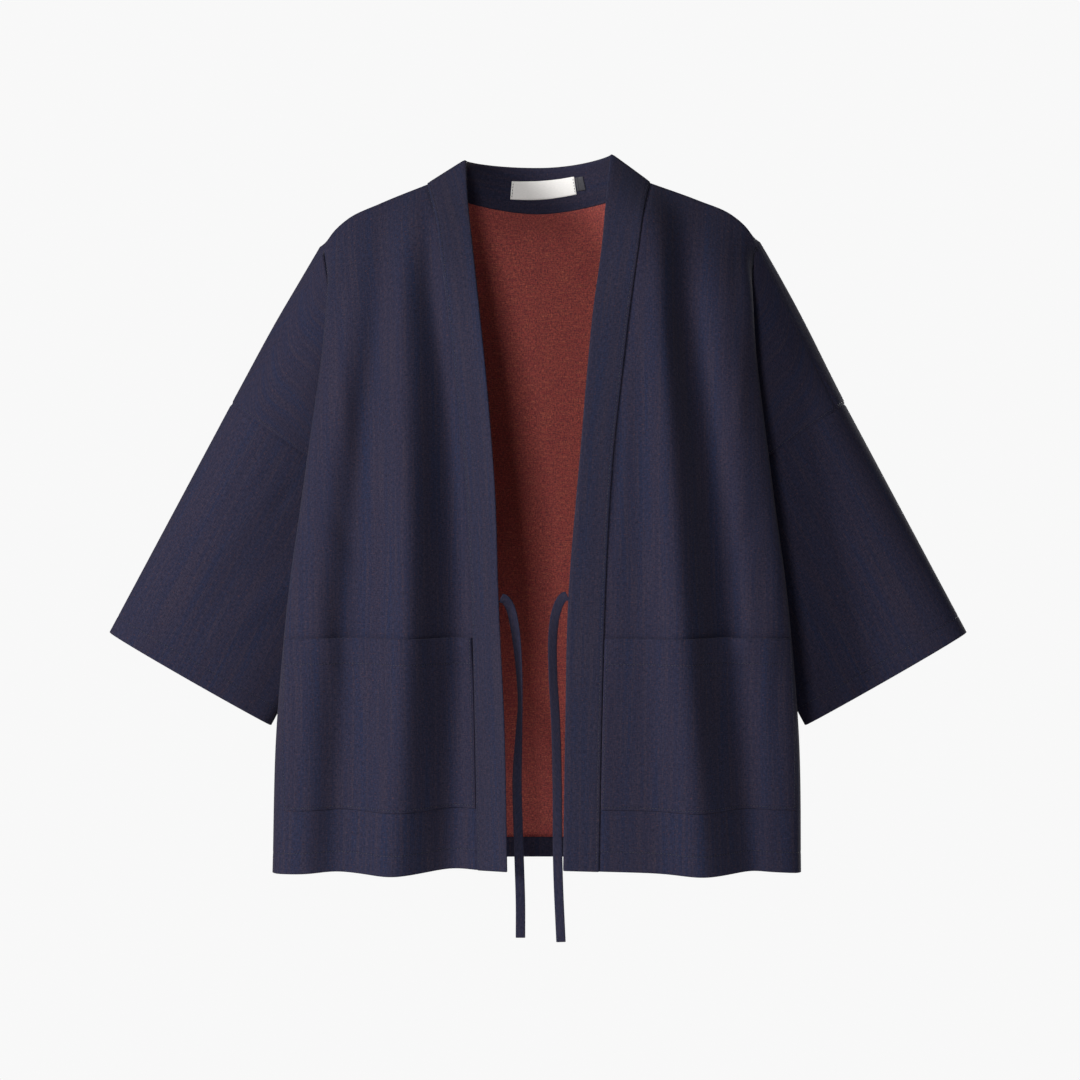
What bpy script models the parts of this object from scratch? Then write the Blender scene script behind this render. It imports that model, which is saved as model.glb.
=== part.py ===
"""Kimono jacket, filled out as it is worn, with the cloth pieces as thin closed walls.

The jacket stands upright with +Z up and its front facing -Y. The origin is level with the two points
where the shoulder seams meet the collar band, midway between them. "right" and "left" are the
wearer's, so the right front is at -X. Tables are in millimetres and give the left half, at +X.
"""
import math
from collections import namedtuple

import bpy
import numpy as np

MM = 0.001

# Cloth walls, in mm.
PANEL_WALL = 1.6
BAND_WALL = 3.0
POCKET_WALL = 1.2
TIE_WALL = 1.2
LABEL_WALL = 1.0
SEAM_GAP = 0.3
# Where three pieces meet at one point the gap is wider, and it grows with the corner's sharpness up to
# the inverse of this share.
CORNER_GAP = 0.9
SHARPEST_CORNER = 0.4
# The side seam and the underarm run close together, so the sleeve's foot starts this much further out,
# and the points beside it half as much.
UNDERARM_EASE = 2.4
POCKET_GAP = 0.45

# Level t runs down a panel from 0 at its shoulder seam to 1 at the hem. The underarm is at UNDERARM_T.
UNDERARM_T = 0.45
POCKET_TOP_T = 0.665
POCKET_FOOT_T = 0.91

# Rows between two levels of a panel, and columns between two of its lines.
ROWS_ARMHOLE = 10
ROWS_WAIST = 5
ROWS_POCKET = 6
ROWS_HEM = 2
ROWS_SLEEVE = 7

# Armhole and cuff are ovals from the ridge on top of the arm to the foot under it. Pinch narrows the
# foot, from 0 for an even oval to 1 for a sharp end.
Oval = namedtuple("Oval", "ridge foot half_depth pinch")
ARMHOLE = Oval((321, 0, -230), (160, 0, -341), 31, 0.85)
CUFF = Oval((449.5, 4, -470), (281, 4, -567), 29, 0.2)
SHOULDER_SEAM_ANGLE = math.radians(28)

# A front, a row for each level. seam: sewn to the band; middle; turn: where the chest turns to the side;
# crest: the outermost line; wall: behind it; side: the valley at the arm, then the side seam.
Front = namedtuple("Front", "t seam middle turn crest wall side")
FRONT_SECTIONS = (
    Front(0.00, (115.5, -6, 0), (165, -6, -20), (200, -8, -37), (217, -12, -54),
          (221, -14, -61), (224, -15, -68)),
    Front(0.05, (107, -52, -36), (160, -42, -58), (198, -40, -76), (216, -34, -87),
          (219, -31, -93), (219, -26, -97)),
    Front(0.10, (102, -76, -71), (158, -70, -96), (199, -66, -112), (218, -56, -119),
          (218, -45, -123), (215, -33, -126)),
    Front(0.20, (92.5, -100, -143), (155, -94, -163), (203, -88, -176), (223, -73, -183),
          (217, -53, -187), (207, -37, -190)),
    Front(0.30, (84.5, -110, -214), (156, -104, -228), (211, -98, -237), (231, -81, -242),
          (217, -55, -246), (197, -34, -250)),
    Front(0.38, (78, -114, -272), (157, -109, -284), (217, -102, -290), (238, -85, -294),
          (213, -50, -297), (181, -20, -300)),
    Front(0.45, (74, -117, -322), (159, -112, -328), (221, -105, -332), (243, -88, -335),
          (206, -40, -338), (160, 0, -341)),
    Front(0.60, (68.5, -121, -429), (163, -116, -430), (233, -109, -431), (256, -91, -432),
          (226, -42, -433), (183, 0, -434)),
    Front(0.80, (64.5, -121, -572), (167, -117, -572), (243, -111, -572), (267, -93, -572),
          (256, -42, -573), (230, 0, -574)),
    Front(1.00, (62, -121, -712), (169, -117, -715), (246, -111, -716), (270, -93, -716),
          (268, -44, -715), (257, 0, -714)),
)

# Half of the back, a row for each level, with the neckline between centre and neck.
Back = namedtuple("Back", "t centre bend neck middle turn crest wall side")
BACK_SECTIONS = (
    Back(0.00, (0, 66, -26), (82, 45, -13), (115.5, -6, 0), (165, -6, -20), (200, -8, -37),
         (217, -12, -54),
         (221, -14, -61), (224, -15, -68)),
    Back(0.05, (0, 84, -50), (80, 70, -46), (115, 40, -38), (164, 32, -50), (201, 20, -58), (218, 8, -63),
         (224, 4, -66), (229, 1, -68)),
    Back(0.10, (0, 97, -86), (80, 88, -84), (115, 68, -80), (163, 58, -88), (202, 44, -94),
         (218, 30, -98),
         (222, 24, -97), (224, 18, -95)),
    Back(0.20, (0, 110, -156), (80, 105, -156), (116, 95, -157), (163, 84, -165), (207, 67, -173),
         (224, 50, -179),
         (220, 41, -182), (211, 32, -185)),
    Back(0.30, (0, 115, -226), (80, 112, -228), (118, 106, -230), (165, 94, -236), (212, 77, -242),
         (231, 58, -247),
         (217, 44, -249), (198, 31, -251)),
    Back(0.38, (0, 117, -282), (80, 114, -284), (119, 109, -286), (167, 99, -290), (216, 81, -294),
         (236, 63, -297),
         (213, 42, -299), (181, 20, -300)),
    Back(0.45, (0, 118, -322), (80, 115, -324), (120, 111, -326), (168, 102, -330), (219, 84, -334),
         (240, 65, -337),
         (206, 34, -339), (160, 0, -341)),
    Back(0.60, (0, 119, -428), (80, 117, -429), (122, 113, -430), (172, 106, -431), (228, 89, -432),
         (251, 69, -433),
         (225, 38, -434), (183, 0, -434)),
    Back(0.80, (0, 119, -571), (80, 117, -571), (124, 114, -572), (177, 108, -573), (236, 93, -573),
         (261, 73, -573),
         (254, 38, -574), (230, 0, -574)),
    Back(1.00, (0, 119, -713), (80, 117, -713), (125, 115, -713), (180, 109, -713), (240, 94, -713),
         (266, 75, -713),
         (266, 38, -713), (257, 0, -714)),
)

# The middle of the arm between valley and armhole, on the front and on the back, above the underarm.
Arm = namedtuple("Arm", "t front back")
ARM_SECTIONS = (
    Arm(0.00, (265, -20, -148), (265, -20, -148)),
    Arm(0.05, (257, -34, -176), (276, 0, -147)),
    Arm(0.10, (246, -40, -203), (268, 18, -157)),
    Arm(0.20, (222, -37, -246), (238, 36, -214)),
    Arm(0.30, (196, -26, -286), (205, 28, -280)),
    Arm(0.38, (174, -12, -318), (177, 12, -317)),
    Arm(0.45, (160, 0, -341), (160, 0, -341)),
)

# The band's free edge, a row for each level of the fronts, as places on the wearer's right and left,
# both measured out from the centre line.
BandEdge = namedtuple("BandEdge", "t right left")
BAND_EDGES = (
    BandEdge(0.00, (76.5, 0, 25), (76.5, 0, 30.5)),
    BandEdge(0.05, (73.5, -42, -22), (71.5, -40, -18)),
    BandEdge(0.10, (69, -72, -63), (67.5, -68, -61)),
    BandEdge(0.20, (60.5, -107, -140), (57, -99, -140)),
    BandEdge(0.30, (53, -124, -213), (50, -110, -213)),
    BandEdge(0.38, (48, -130, -272), (45, -115, -272)),
    BandEdge(0.45, (44.5, -134, -322), (40.5, -118, -322)),
    BandEdge(0.60, (41, -138, -429), (32, -121, -429)),
    BandEdge(0.80, (34.5, -138, -571), (28.5, -121, -571)),
    BandEdge(1.00, (32, -137, -711), (26.5, -121, -711)),
)
# Behind the neck the free edge is half an oval between the two peaks.
COLLAR_BACK_Y = 60
COLLAR_BACK_Z = 21.5

# Folds, ridges positive and valleys negative: the fold's distance from the centre line, half width
# and depth, all in mm, at some levels.
Fold = namedtuple("Fold", "t distance half_width depth")
RIGHT_FOLDS = (
    (Fold(0, 136, 14, 0), Fold(0.1, 140, 14, 5), Fold(0.3, 136, 19, 12), Fold(0.6, 134, 21, 17),
     Fold(1, 148, 26, 14)),
    (Fold(0, 109, 12, 0), Fold(0.1, 112, 13, -8), Fold(0.3, 96, 18, -14), Fold(0.6, 85, 24, -19),
     Fold(1, 87, 26, -17)),
    (Fold(0, 165, 16, 0), Fold(0.15, 166, 18, -6), Fold(0.4, 184, 24, -13), Fold(0.65, 196, 27, -17),
     Fold(1, 208, 28, -15)),
)
LEFT_FOLDS = (
    (Fold(0, 122, 14, 0), Fold(0.15, 122, 16, 8), Fold(0.4, 133, 21, 15), Fold(0.7, 147, 24, 19),
     Fold(1, 166, 29, 15)),
    (Fold(0, 150, 16, 0), Fold(0.15, 154, 18, -9), Fold(0.4, 178, 20, -17), Fold(0.7, 199, 22, -20),
     Fold(1, 220, 24, -16)),
    (Fold(0, 190, 20, 0), Fold(0.3, 206, 18, -1), Fold(0.6, 228, 20, -7), Fold(1, 248, 24, -8)),
)
BACK_FOLDS = (
    (Fold(0, 60, 30, 0), Fold(0.3, 70, 34, 6), Fold(0.6, 82, 36, 11), Fold(1, 88, 38, 11)),
    (Fold(0, 130, 30, 0), Fold(0.3, 132, 28, -8), Fold(0.6, 140, 30, -14), Fold(1, 150, 32, -14)),
    (Fold(0, 190, 20, 0), Fold(0.3, 178, 24, 6), Fold(0.6, 194, 28, 10), Fold(1, 206, 28, 10)),
)

# How far the hem hangs lower at a ridge, as a share of the ridge's depth.
HEM_SWAY = 0.17
# The cloth is plain this far from a side seam or an arm, and the folds come in over this length from there.
SIDE_PLAIN = 30
SIDE_FADE = 40

# The left shoulder sits a little higher and further out than the right one, in a soft bell round it.
LEFT_SHOULDER = (235, 0, -70)
LEFT_SHOULDER_SHIFT = (4, 0, 5)
LEFT_SHOULDER_REACH = 130

# Ties: the middle line of each, and its twist in degrees from lying flat to the front.
Tie = namedtuple("Tie", "x y z twist")
TIE_WIDTH = 9.5
RIGHT_TIE = (
    Tie(-37.6, -137, -432, 0), Tie(-33, -135, -434.5, 5), Tie(-28, -131, -443, 10),
    Tie(-24.5, -128, -458, 15),
    Tie(-21.5, -124, -480, 30), Tie(-19, -121, -515, 52), Tie(-18.5, -119, -545, 60),
    Tie(-20, -118, -578, 40),
    Tie(-21.5, -118, -620, 10), Tie(-20.5, -118, -665, 0), Tie(-19, -118, -710, -5),
    Tie(-18, -118, -745, -5),
    Tie(-18, -118, -780, 0),
)
LEFT_TIE = (
    Tie(29.8, -121, -430, 0), Tie(25, -120, -432.5, 0), Tie(20, -118, -442, -6),
    Tie(16.5, -116, -457, -12),
    Tie(14.8, -114, -480, -18), Tie(15.5, -112, -515, -20), Tie(17.6, -111, -550, -15),
    Tie(19, -111, -590, -10),
    Tie(19.8, -111, -640, 0), Tie(20, -111, -690, 5), Tie(21, -111, -730, 8), Tie(23.5, -111, -785, 10),
)
ROWS_TIE = 26

# Woven label and size tab inside the back collar: distances along X and down from the collar's edge.
LABEL_SPAN_X = (-27, 37)
TAB_SPAN_X = (38.5, 45.5)
LABEL_TOP = 12
LABEL_FOOT = 32.5
TAB_FOOT = 28
LABEL_COLUMNS = 9
LABEL_GAP = 0.8

Paint = namedtuple("Paint", "name colour roughness")
NAVY = Paint("navy cloth", (0.045, 0.045, 0.085), 0.85)
NAVY_BAND = Paint("navy band cloth", (0.05, 0.048, 0.09), 0.85)
WHITE = Paint("white label", (0.80, 0.80, 0.78), 0.7)
CHARCOAL = Paint("charcoal tab", (0.08, 0.08, 0.09), 0.7)


def smooth_through(knots, values, at):
    """Values at parameters `at` on a smooth curve through the table rows, each slope a parabola's."""
    knots = np.asarray(knots, float)
    values = np.asarray(values, float)
    flat = values.reshape(len(knots), -1)
    slopes = np.gradient(flat, knots, axis=0)
    at = np.asarray(at, float)
    low = np.clip(np.searchsorted(knots, at, side="right") - 1, 0, len(knots) - 2)
    span = (knots[low + 1] - knots[low])[:, None]
    part = ((at - knots[low])[:, None]) / span
    start, end = flat[low], flat[low + 1]
    result = (start * (1 + 2 * part) * (1 - part) ** 2 + end * part ** 2 * (3 - 2 * part)
              + span * slopes[low] * part * (1 - part) ** 2
              + span * slopes[low + 1] * part ** 2 * (part - 1))
    return result.reshape((len(at),) + values.shape[1:])


def smooth_to_corner(knots, values, at, corner):
    """As smooth_through, but with a true corner in the curve at the parameter `corner`."""
    knots, values, at = np.asarray(knots, float), np.asarray(values, float), np.asarray(at, float)
    above, below = knots <= corner, knots >= corner
    upper = smooth_through(knots[above], values[above], at[at <= corner])
    lower = smooth_through(knots[below], values[below], at[at > corner])
    return np.concatenate([upper, lower])


def rows_through(lines, counts):
    """Fill each row between its lines: a smooth curve through them, `counts` steps between two lines."""
    filled = []
    for row in lines:
        chords = np.linalg.norm(np.diff(row, axis=0), axis=1)
        knots = np.concatenate([[0], np.cumsum(chords)])
        steps = [np.linspace(knots[k], knots[k + 1], n, endpoint=False) for k, n in enumerate(counts)]
        filled.append(smooth_through(knots, row, np.concatenate(steps + [knots[-1:]])))
    return np.array(filled)


def levels(*stops_and_counts):
    """Levels from stop to stop, with the given number of rows between: stop, count, stop, count, stop."""
    stops, counts = stops_and_counts[0::2], stops_and_counts[1::2]
    runs = [np.linspace(a, b, n, endpoint=False) for a, b, n in zip(stops, stops[1:], counts)]
    return np.concatenate(runs + [stops[-1:]])


def oval(shape, angle):
    """Points of an oval between its two ends: angle 0 at the ridge, pi at the foot, forward positive."""
    angle = np.asarray(angle)[:, None]
    ridge, foot = np.array(shape.ridge, float), np.array(shape.foot, float)
    depth = shape.half_depth * np.sin(angle) * (1 + shape.pinch * np.cos(angle))
    return ridge + (foot - ridge) * (1 - np.cos(angle)) / 2 - depth * np.array([0, 1, 0])


def armhole_angles(t, forward):
    """Angle round the armhole where the row of each level ends, front or back."""
    share = np.asarray(t) / UNDERARM_T
    if forward:
        return SHOULDER_SEAM_ANGLE + (math.pi - SHOULDER_SEAM_ANGLE) * share
    return SHOULDER_SEAM_ANGLE - (math.pi + SHOULDER_SEAM_ANGLE) * share


def fold_depth(points, t, folds):
    """Depth of all folds at each point of a grid: a bell across each fold, its table followed down."""
    depth = np.zeros(points.shape[:2])
    for fold in folds:
        distance, half_width, height = smooth_through(
            [row.t for row in fold], [row[1:] for row in fold], t).T[:, :, None]
        depth += height * np.exp(-((np.abs(points[:, :, 0]) - distance) / half_width) ** 2)
    return depth


def folded(points, t, folds, sign, both_ends=False):
    """A grid with its folds in: moved along its normals, and near the hem also down at the ridges.

    The cloth by the last column stays where it is, and by the first too with both_ends.
    """
    steps = np.linalg.norm(np.diff(points, axis=1), axis=2)
    reach = np.cumsum(np.pad(steps, ((0, 0), (1, 0))), axis=1)
    near = reach[:, -1:] - reach
    if both_ends:
        near = np.minimum(near, reach)
    fade = np.clip((near - SIDE_PLAIN) / SIDE_FADE, 0, 1)
    depth = (fold_depth(points, t, folds) * fade)[:, :, None]
    moved = points + grid_normals(points) * depth * sign
    moved[:, :, 2:] -= depth * HEM_SWAY * t[:, None, None] ** 3
    return moved


def grid_normals(points):
    """Unit normals of a grid, down the rows crossed with along the columns."""
    down = np.gradient(points, axis=0)
    along = np.gradient(points, axis=1)
    normal = np.cross(down, along)
    return normal / np.linalg.norm(normal, axis=2, keepdims=True)


def shouldered(points):
    """Points moved with the left shoulder: its shift, faded by a bell of the distance in X and Z."""
    away = (points - np.array(LEFT_SHOULDER)) / LEFT_SHOULDER_REACH
    fade = np.exp(-away[..., 0] ** 2 - away[..., 2] ** 2)[..., None]
    return points + fade * np.array(LEFT_SHOULDER_SHIFT)


def mirrored(points):
    """The same grid on the other side of the centre line."""
    return points * np.array([-1, 1, 1])


class Cloth:
    """One cloth piece: grids of points welded into one surface, with a normal at each point."""

    def __init__(self, name, wall, paint, grids, outward):
        self.name = name
        self.wall = wall
        self.paint = paint
        points = np.concatenate([grid.reshape(-1, 3) for grid in grids])
        keys = np.round(points * 1000).astype(np.int64)
        _, first, inverse = np.unique(keys, axis=0, return_index=True, return_inverse=True)
        self.points = points[first]
        self.grids, start = [], 0
        for grid in grids:
            rows, columns = grid.shape[:2]
            self.grids.append(inverse.reshape(-1)[start:start + rows * columns].reshape(rows, columns))
            start += rows * columns
        self.faces = [face for index in self.grids for face in self.quads(index, outward)]
        self.normals = self.point_normals()

    @staticmethod
    def quads(index, outward):
        """Two triangles for each cell of a grid, without those whose corners fell together."""
        faces = []
        for i in range(index.shape[0] - 1):
            for j in range(index.shape[1] - 1):
                ring = [index[i, j], index[i + 1, j], index[i + 1, j + 1], index[i, j + 1]]
                for half in (ring[:3], [ring[0], ring[2], ring[3]]):
                    half = [int(v) for v in half]
                    if len(set(half)) == 3:
                        faces.append(half if outward else half[::-1])
        return faces

    def face_normals(self):
        """Normal of each face, as long as the face is large."""
        corners = self.points[np.array(self.faces)]
        return np.cross(corners[:, 1] - corners[:, 0], corners[:, 2] - corners[:, 0])

    def point_normals(self):
        """Unit normal at each point, from the faces round it."""
        normals = np.zeros_like(self.points)
        for face, normal in zip(self.faces, self.face_normals()):
            normals[face] += normal
        return normals / np.linalg.norm(normals, axis=1, keepdims=True)

    def border(self):
        """Border edges as (a, b) pairs in the order of the faces, with the direction that leads out."""
        owner = {}
        for face, normal in zip(self.faces, self.face_normals()):
            for k, a in enumerate(face):
                owner[(a, face[(k + 1) % len(face)])] = normal
        edges = []
        for (a, b), normal in owner.items():
            if (b, a) not in owner:
                out = np.cross(self.points[b] - self.points[a], normal)
                edges.append((a, b, out / np.linalg.norm(out)))
        return edges

    def wall_faces(self, a, b, count):
        """Two triangles across the wall's edge, split the same way on both sides of a seam."""
        if tuple(self.points[a]) < tuple(self.points[b]):
            return [[b, a, b + count], [a, a + count, b + count]]
        return [[b, a, a + count], [b, a + count, b + count]]

    def build(self):
        """Thicken the surface to a closed wall and make it an object."""
        count = len(self.points)
        lift = self.normals * self.wall / 2
        corners = np.concatenate([self.points + lift, self.points - lift]) * MM
        faces = list(self.faces) + [[v + count for v in reversed(face)] for face in self.faces]
        for a, b, _ in self.border():
            faces += self.wall_faces(a, b, count)
        mesh = bpy.data.meshes.new(self.name)
        mesh.from_pydata(corners.tolist(), [], faces)
        mesh.materials.append(material(self.paint))
        mesh.validate()
        mesh.shade_smooth()
        mesh.set_sharp_from_angle(angle=math.radians(50))
        piece = bpy.data.objects.new(self.name, mesh)
        bpy.context.scene.collection.objects.link(piece)
        return piece


def settle_seams(pieces):
    """Give pieces that meet one normal at each shared point, then draw each back by half the gap."""
    shared = {}
    for piece in pieces:
        for vertex in sorted({v for a, b, _ in piece.border() for v in (a, b)}):
            key = tuple(np.round(piece.points[vertex] * 100).astype(int))
            shared.setdefault(key, []).append((piece, vertex))
    shared = {key: owners for key, owners in shared.items() if len({id(p) for p, _ in owners}) > 1}
    for owners in shared.values():
        normal = sum(piece.normals[vertex] for piece, vertex in owners)
        for piece, vertex in owners:
            piece.normals[vertex] = normal / np.linalg.norm(normal)
    moves = []
    for piece in pieces:
        outs, corners = {}, set()
        for a, b, out in piece.border():
            keys = [tuple(np.round(piece.points[v] * 100).astype(int)) for v in (a, b)]
            if all(key in shared for key in keys):
                outs.setdefault(a, []).append(out)
                outs.setdefault(b, []).append(out)
            corners |= {v for v, key in zip((a, b), keys) if len(shared.get(key, ())) > 2}
        for vertex, ways in outs.items():
            share = 1 + float(np.dot(ways[0], ways[-1])) if len(ways) > 1 else 1
            gap = CORNER_GAP if vertex in corners else SEAM_GAP
            moves.append((piece, vertex, sum(ways) / max(share, SHARPEST_CORNER) * gap / 2))
    for piece, vertex, move in moves:
        piece.points[vertex] -= move


def material(paint):
    """A plain cloth finish, made once for each paint."""
    found = bpy.data.materials.get(paint.name)
    if found:
        return found
    finish = bpy.data.materials.new(paint.name)
    finish.use_nodes = True
    shader = finish.node_tree.nodes["Principled BSDF"]
    shader.inputs["Base Color"].default_value = (*paint.colour, 1)
    shader.inputs["Roughness"].default_value = paint.roughness
    shader.inputs["Metallic"].default_value = 0
    return finish


PANEL_LEVELS = levels(0, ROWS_ARMHOLE, UNDERARM_T, ROWS_WAIST, POCKET_TOP_T, ROWS_POCKET, POCKET_FOOT_T,
                      ROWS_HEM, 1)
UNDERARM_ROW = ROWS_ARMHOLE
POCKET_ROWS = slice(ROWS_ARMHOLE + ROWS_WAIST, ROWS_ARMHOLE + ROWS_WAIST + ROWS_POCKET + 1)

# Columns from line to line: seam, middle, turn, crest, wall, side, and from the side over the arm.
FRONT_COUNTS = (7, 5, 2, 2, 2)
NECK_COUNTS = (5, 3)
ARM_COUNTS = (3, 3)
# A pocket starts at the band seam and covers this many points of a front's rows.
POCKET_COLUMNS = FRONT_COUNTS[0] + FRONT_COUNTS[1] + 2
# Its outer edge goes on towards the crest from there, by these shares of a step at its top and foot.
RIGHT_POCKET_REACH = (0.95, 0.2)
LEFT_POCKET_REACH = (0.9, 0.7)


def panel_lines(sections):
    """Lines of a panel at every level, from its table. The side line has a corner at the underarm."""
    knots = [row.t for row in sections]
    lines = smooth_through(knots, [row[1:] for row in sections], PANEL_LEVELS)
    lines[:, -1] = smooth_to_corner(knots, [row.side for row in sections], PANEL_LEVELS, UNDERARM_T)
    return lines


def both_halves(lines):
    """Lines or points of a left half joined to their mirror image at the centre line."""
    return np.concatenate([mirrored(lines)[:, :0:-1], lines], axis=1)


def arm_grid(body, forward):
    """Grid of a panel's part on the arm, from the valley at the body to the armhole."""
    t = PANEL_LEVELS[:UNDERARM_ROW + 1]
    middle = smooth_through([row.t for row in ARM_SECTIONS],
                            [row.front if forward else row.back for row in ARM_SECTIONS], t)
    armhole = oval(ARMHOLE, armhole_angles(t, forward))
    lines = np.stack([body[:UNDERARM_ROW + 1, -1], middle, armhole], axis=1)
    lines[-1] = armhole[-1]
    grid = [rows_through(lines[:-1], ARM_COUNTS)[k] for k in range(UNDERARM_ROW)]
    grid.append(np.repeat(armhole[-1][None], sum(ARM_COUNTS) + 1, axis=0))
    return np.array(grid)


def front_grids(folds):
    """Body and arm grids of a front on the left side, folds in."""
    body = rows_through(panel_lines(FRONT_SECTIONS), FRONT_COUNTS)
    body = folded(body, PANEL_LEVELS, folds, 1)
    return [body, arm_grid(body, True)]


def back_grids():
    """Body grid of the whole back and its two arm grids, folds in. Its shoulder seams are the fronts'."""
    counts = NECK_COUNTS + FRONT_COUNTS
    body = rows_through(both_halves(panel_lines(BACK_SECTIONS)), counts[::-1] + counts)
    shoulder = rows_through(panel_lines(FRONT_SECTIONS)[:1], FRONT_COUNTS)
    top = BACK_SECTIONS[0]
    neckline = rows_through(both_halves(np.array([[top.centre, top.bend, top.neck]], float)),
                            NECK_COUNTS[::-1] + NECK_COUNTS)
    body[0] = np.concatenate([mirrored(shoulder)[:, :0:-1], neckline, shoulder[:, 1:]], axis=1)[0]
    body = folded(body, PANEL_LEVELS, BACK_FOLDS, -1, both_ends=True)
    half = body[:, body.shape[1] // 2:].copy()
    arm = arm_grid(half, False)
    return [body, arm, mirrored(arm)[:, ::-1]]


def sleeve_grid():
    """Tube from the armhole to the cuff on the left side, its columns those of front and back."""
    t = PANEL_LEVELS[:UNDERARM_ROW + 1]
    angles = np.concatenate([armhole_angles(t, True), armhole_angles(t, False)[-2::-1] + 2 * math.pi])
    share = np.linspace(0, 1, ROWS_SLEEVE + 1)[:, None, None]
    return oval(ARMHOLE, angles)[None] * (1 - share) + oval(CUFF, angles)[None] * share


def band_edges(side):
    """Free edge of the band down one front, a point for each level."""
    rows = [row.left if side > 0 else row.right for row in BAND_EDGES]
    return smooth_through([row.t for row in BAND_EDGES], rows, PANEL_LEVELS)


def collar_edge(count):
    """Free edge of the band behind the neck, from the right peak round to the left one."""
    turn = np.linspace(-math.pi / 2, math.pi / 2, count)
    reach, _, left_z = BAND_EDGES[0].left
    right_z = BAND_EDGES[0].right[2]
    peak_z = np.where(turn > 0, left_z, right_z)
    rise = COLLAR_BACK_Z + (peak_z - COLLAR_BACK_Z) * np.sin(turn) ** 2
    return np.stack([reach * np.sin(turn), COLLAR_BACK_Y * np.cos(turn), rise], axis=1)


def band_grid(right_body, left_body, back_body):
    """The one long band: right front from the hem up, round the neck and down the left front."""
    neck = sum(NECK_COUNTS)
    middle = back_body.shape[1] // 2
    round_neck = back_body[0, middle - neck:middle + neck + 1]
    seam = np.concatenate([right_body[:0:-1, 0], round_neck, left_body[1:, 0]])
    edge = np.concatenate([mirrored(band_edges(-1))[:0:-1], collar_edge(2 * neck + 1), band_edges(1)[1:]])
    return np.stack([seam, (seam + edge) / 2, edge], axis=1)


def pocket(name, front, side, reach):
    """Patch pocket laid on a front: the front's own points, moved out, and an outer edge after them."""
    rows = front.grids[0][POCKET_ROWS]
    lift = PANEL_WALL / 2 + POCKET_GAP + POCKET_WALL / 2
    laid = front.points[rows] + front.normals[rows] * lift
    share = np.linspace(*reach, len(rows))[:, None]
    last, beyond = laid[:, POCKET_COLUMNS - 1], laid[:, POCKET_COLUMNS]
    edge = last + (beyond - last) * share
    grid = np.concatenate([laid[:, :POCKET_COLUMNS], edge[:, None]], axis=1)
    return Cloth(name, POCKET_WALL, NAVY, [grid], side > 0)


def tie(name, rows):
    """Flat tie along its middle line, turned about the line by its twist."""
    stations = np.linspace(0, 1, len(rows))
    line = smooth_through(stations, [row[:3] for row in rows], np.linspace(0, 1, ROWS_TIE + 1))
    twist = smooth_through(stations, [row.twist for row in rows], np.linspace(0, 1, ROWS_TIE + 1))
    twist = np.radians(twist)
    run = np.gradient(line, axis=0)
    run /= np.linalg.norm(run, axis=1, keepdims=True)
    across = np.cross(run, np.array([0, -1, 0]))
    across /= np.linalg.norm(across, axis=1, keepdims=True)
    deep = np.cross(run, across)
    turned = across * np.cos(twist)[:, None] + deep * np.sin(twist)[:, None]
    shares = np.array([-0.5, 0, 0.5])[None, :, None]
    return Cloth(name, TIE_WALL, NAVY_BAND, [line[:, None] + turned[:, None] * shares * TIE_WIDTH], False)


def inside_collar(name, band, span, top, foot, paint):
    """A flat piece on the inner face of the collar, between two X places and two depths from its edge."""
    index = band.grids[0]
    behind = index[band.points[index[:, 2], 1] > COLLAR_BACK_Y / 2]
    seam, edge = band.points[behind[:, 0]], band.points[behind[:, 2]]
    fall = np.linalg.norm(seam - edge, axis=1)[:, None]
    lift = BAND_WALL / 2 + LABEL_GAP + LABEL_WALL / 2
    places = np.linspace(*span, LABEL_COLUMNS)
    rows = []
    for depth in (top, (top + foot) / 2, foot):
        line = edge + (seam - edge) * depth / fall - band.normals[behind[:, 1]] * lift
        rows.append(np.stack([np.interp(places, line[:, 0], line[:, k]) for k in range(3)], axis=1))
    return Cloth(name, LABEL_WALL, paint, [np.array(rows)], False)


def main():
    """Clear the scene, then make every piece of the jacket."""
    for thing in list(bpy.data.objects):
        bpy.data.objects.remove(thing, do_unlink=True)
    right_grids = [mirrored(grid) for grid in front_grids(RIGHT_FOLDS)]
    left_grids = front_grids(LEFT_FOLDS)
    whole_back = back_grids()
    long_band = band_grid(right_grids[0], left_grids[0], whole_back[0])
    sleeve = sleeve_grid()

    def panel(name, grids, outward, wall=PANEL_WALL, paint=NAVY):
        return Cloth(name, wall, paint, [shouldered(grid) for grid in grids], outward)

    front_right = panel("front_right", right_grids, False)
    front_left = panel("front_left", left_grids, True)
    back = panel("back_panel", whole_back, False)
    sleeve_right = panel("sleeve_right", [mirrored(sleeve)], True)
    sleeve_left = panel("sleeve_left", [sleeve], False)
    band = panel("collar_band", [long_band], False, BAND_WALL, NAVY_BAND)
    settle_seams([front_right, front_left, back, sleeve_right, sleeve_left, band])
    for piece, side in ((sleeve_right, -1), (sleeve_left, 1)):
        for column, share in ((-1, 0.5), (0, 1), (1, 0.5)):
            piece.points[piece.grids[0][0, UNDERARM_ROW + column], 0] += side * UNDERARM_EASE * share
    pieces = [front_right, front_left, back, sleeve_right, sleeve_left, band,
              pocket("pocket_right", front_right, -1, RIGHT_POCKET_REACH),
              pocket("pocket_left", front_left, 1, LEFT_POCKET_REACH),
              tie("tie_right", RIGHT_TIE), tie("tie_left", LEFT_TIE),
              inside_collar("neck_label", band, LABEL_SPAN_X, LABEL_TOP, LABEL_FOOT, WHITE),
              inside_collar("size_tab", band, TAB_SPAN_X, LABEL_TOP, TAB_FOOT, CHARCOAL)]
    for piece in pieces:
        piece.build()


main()
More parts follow.
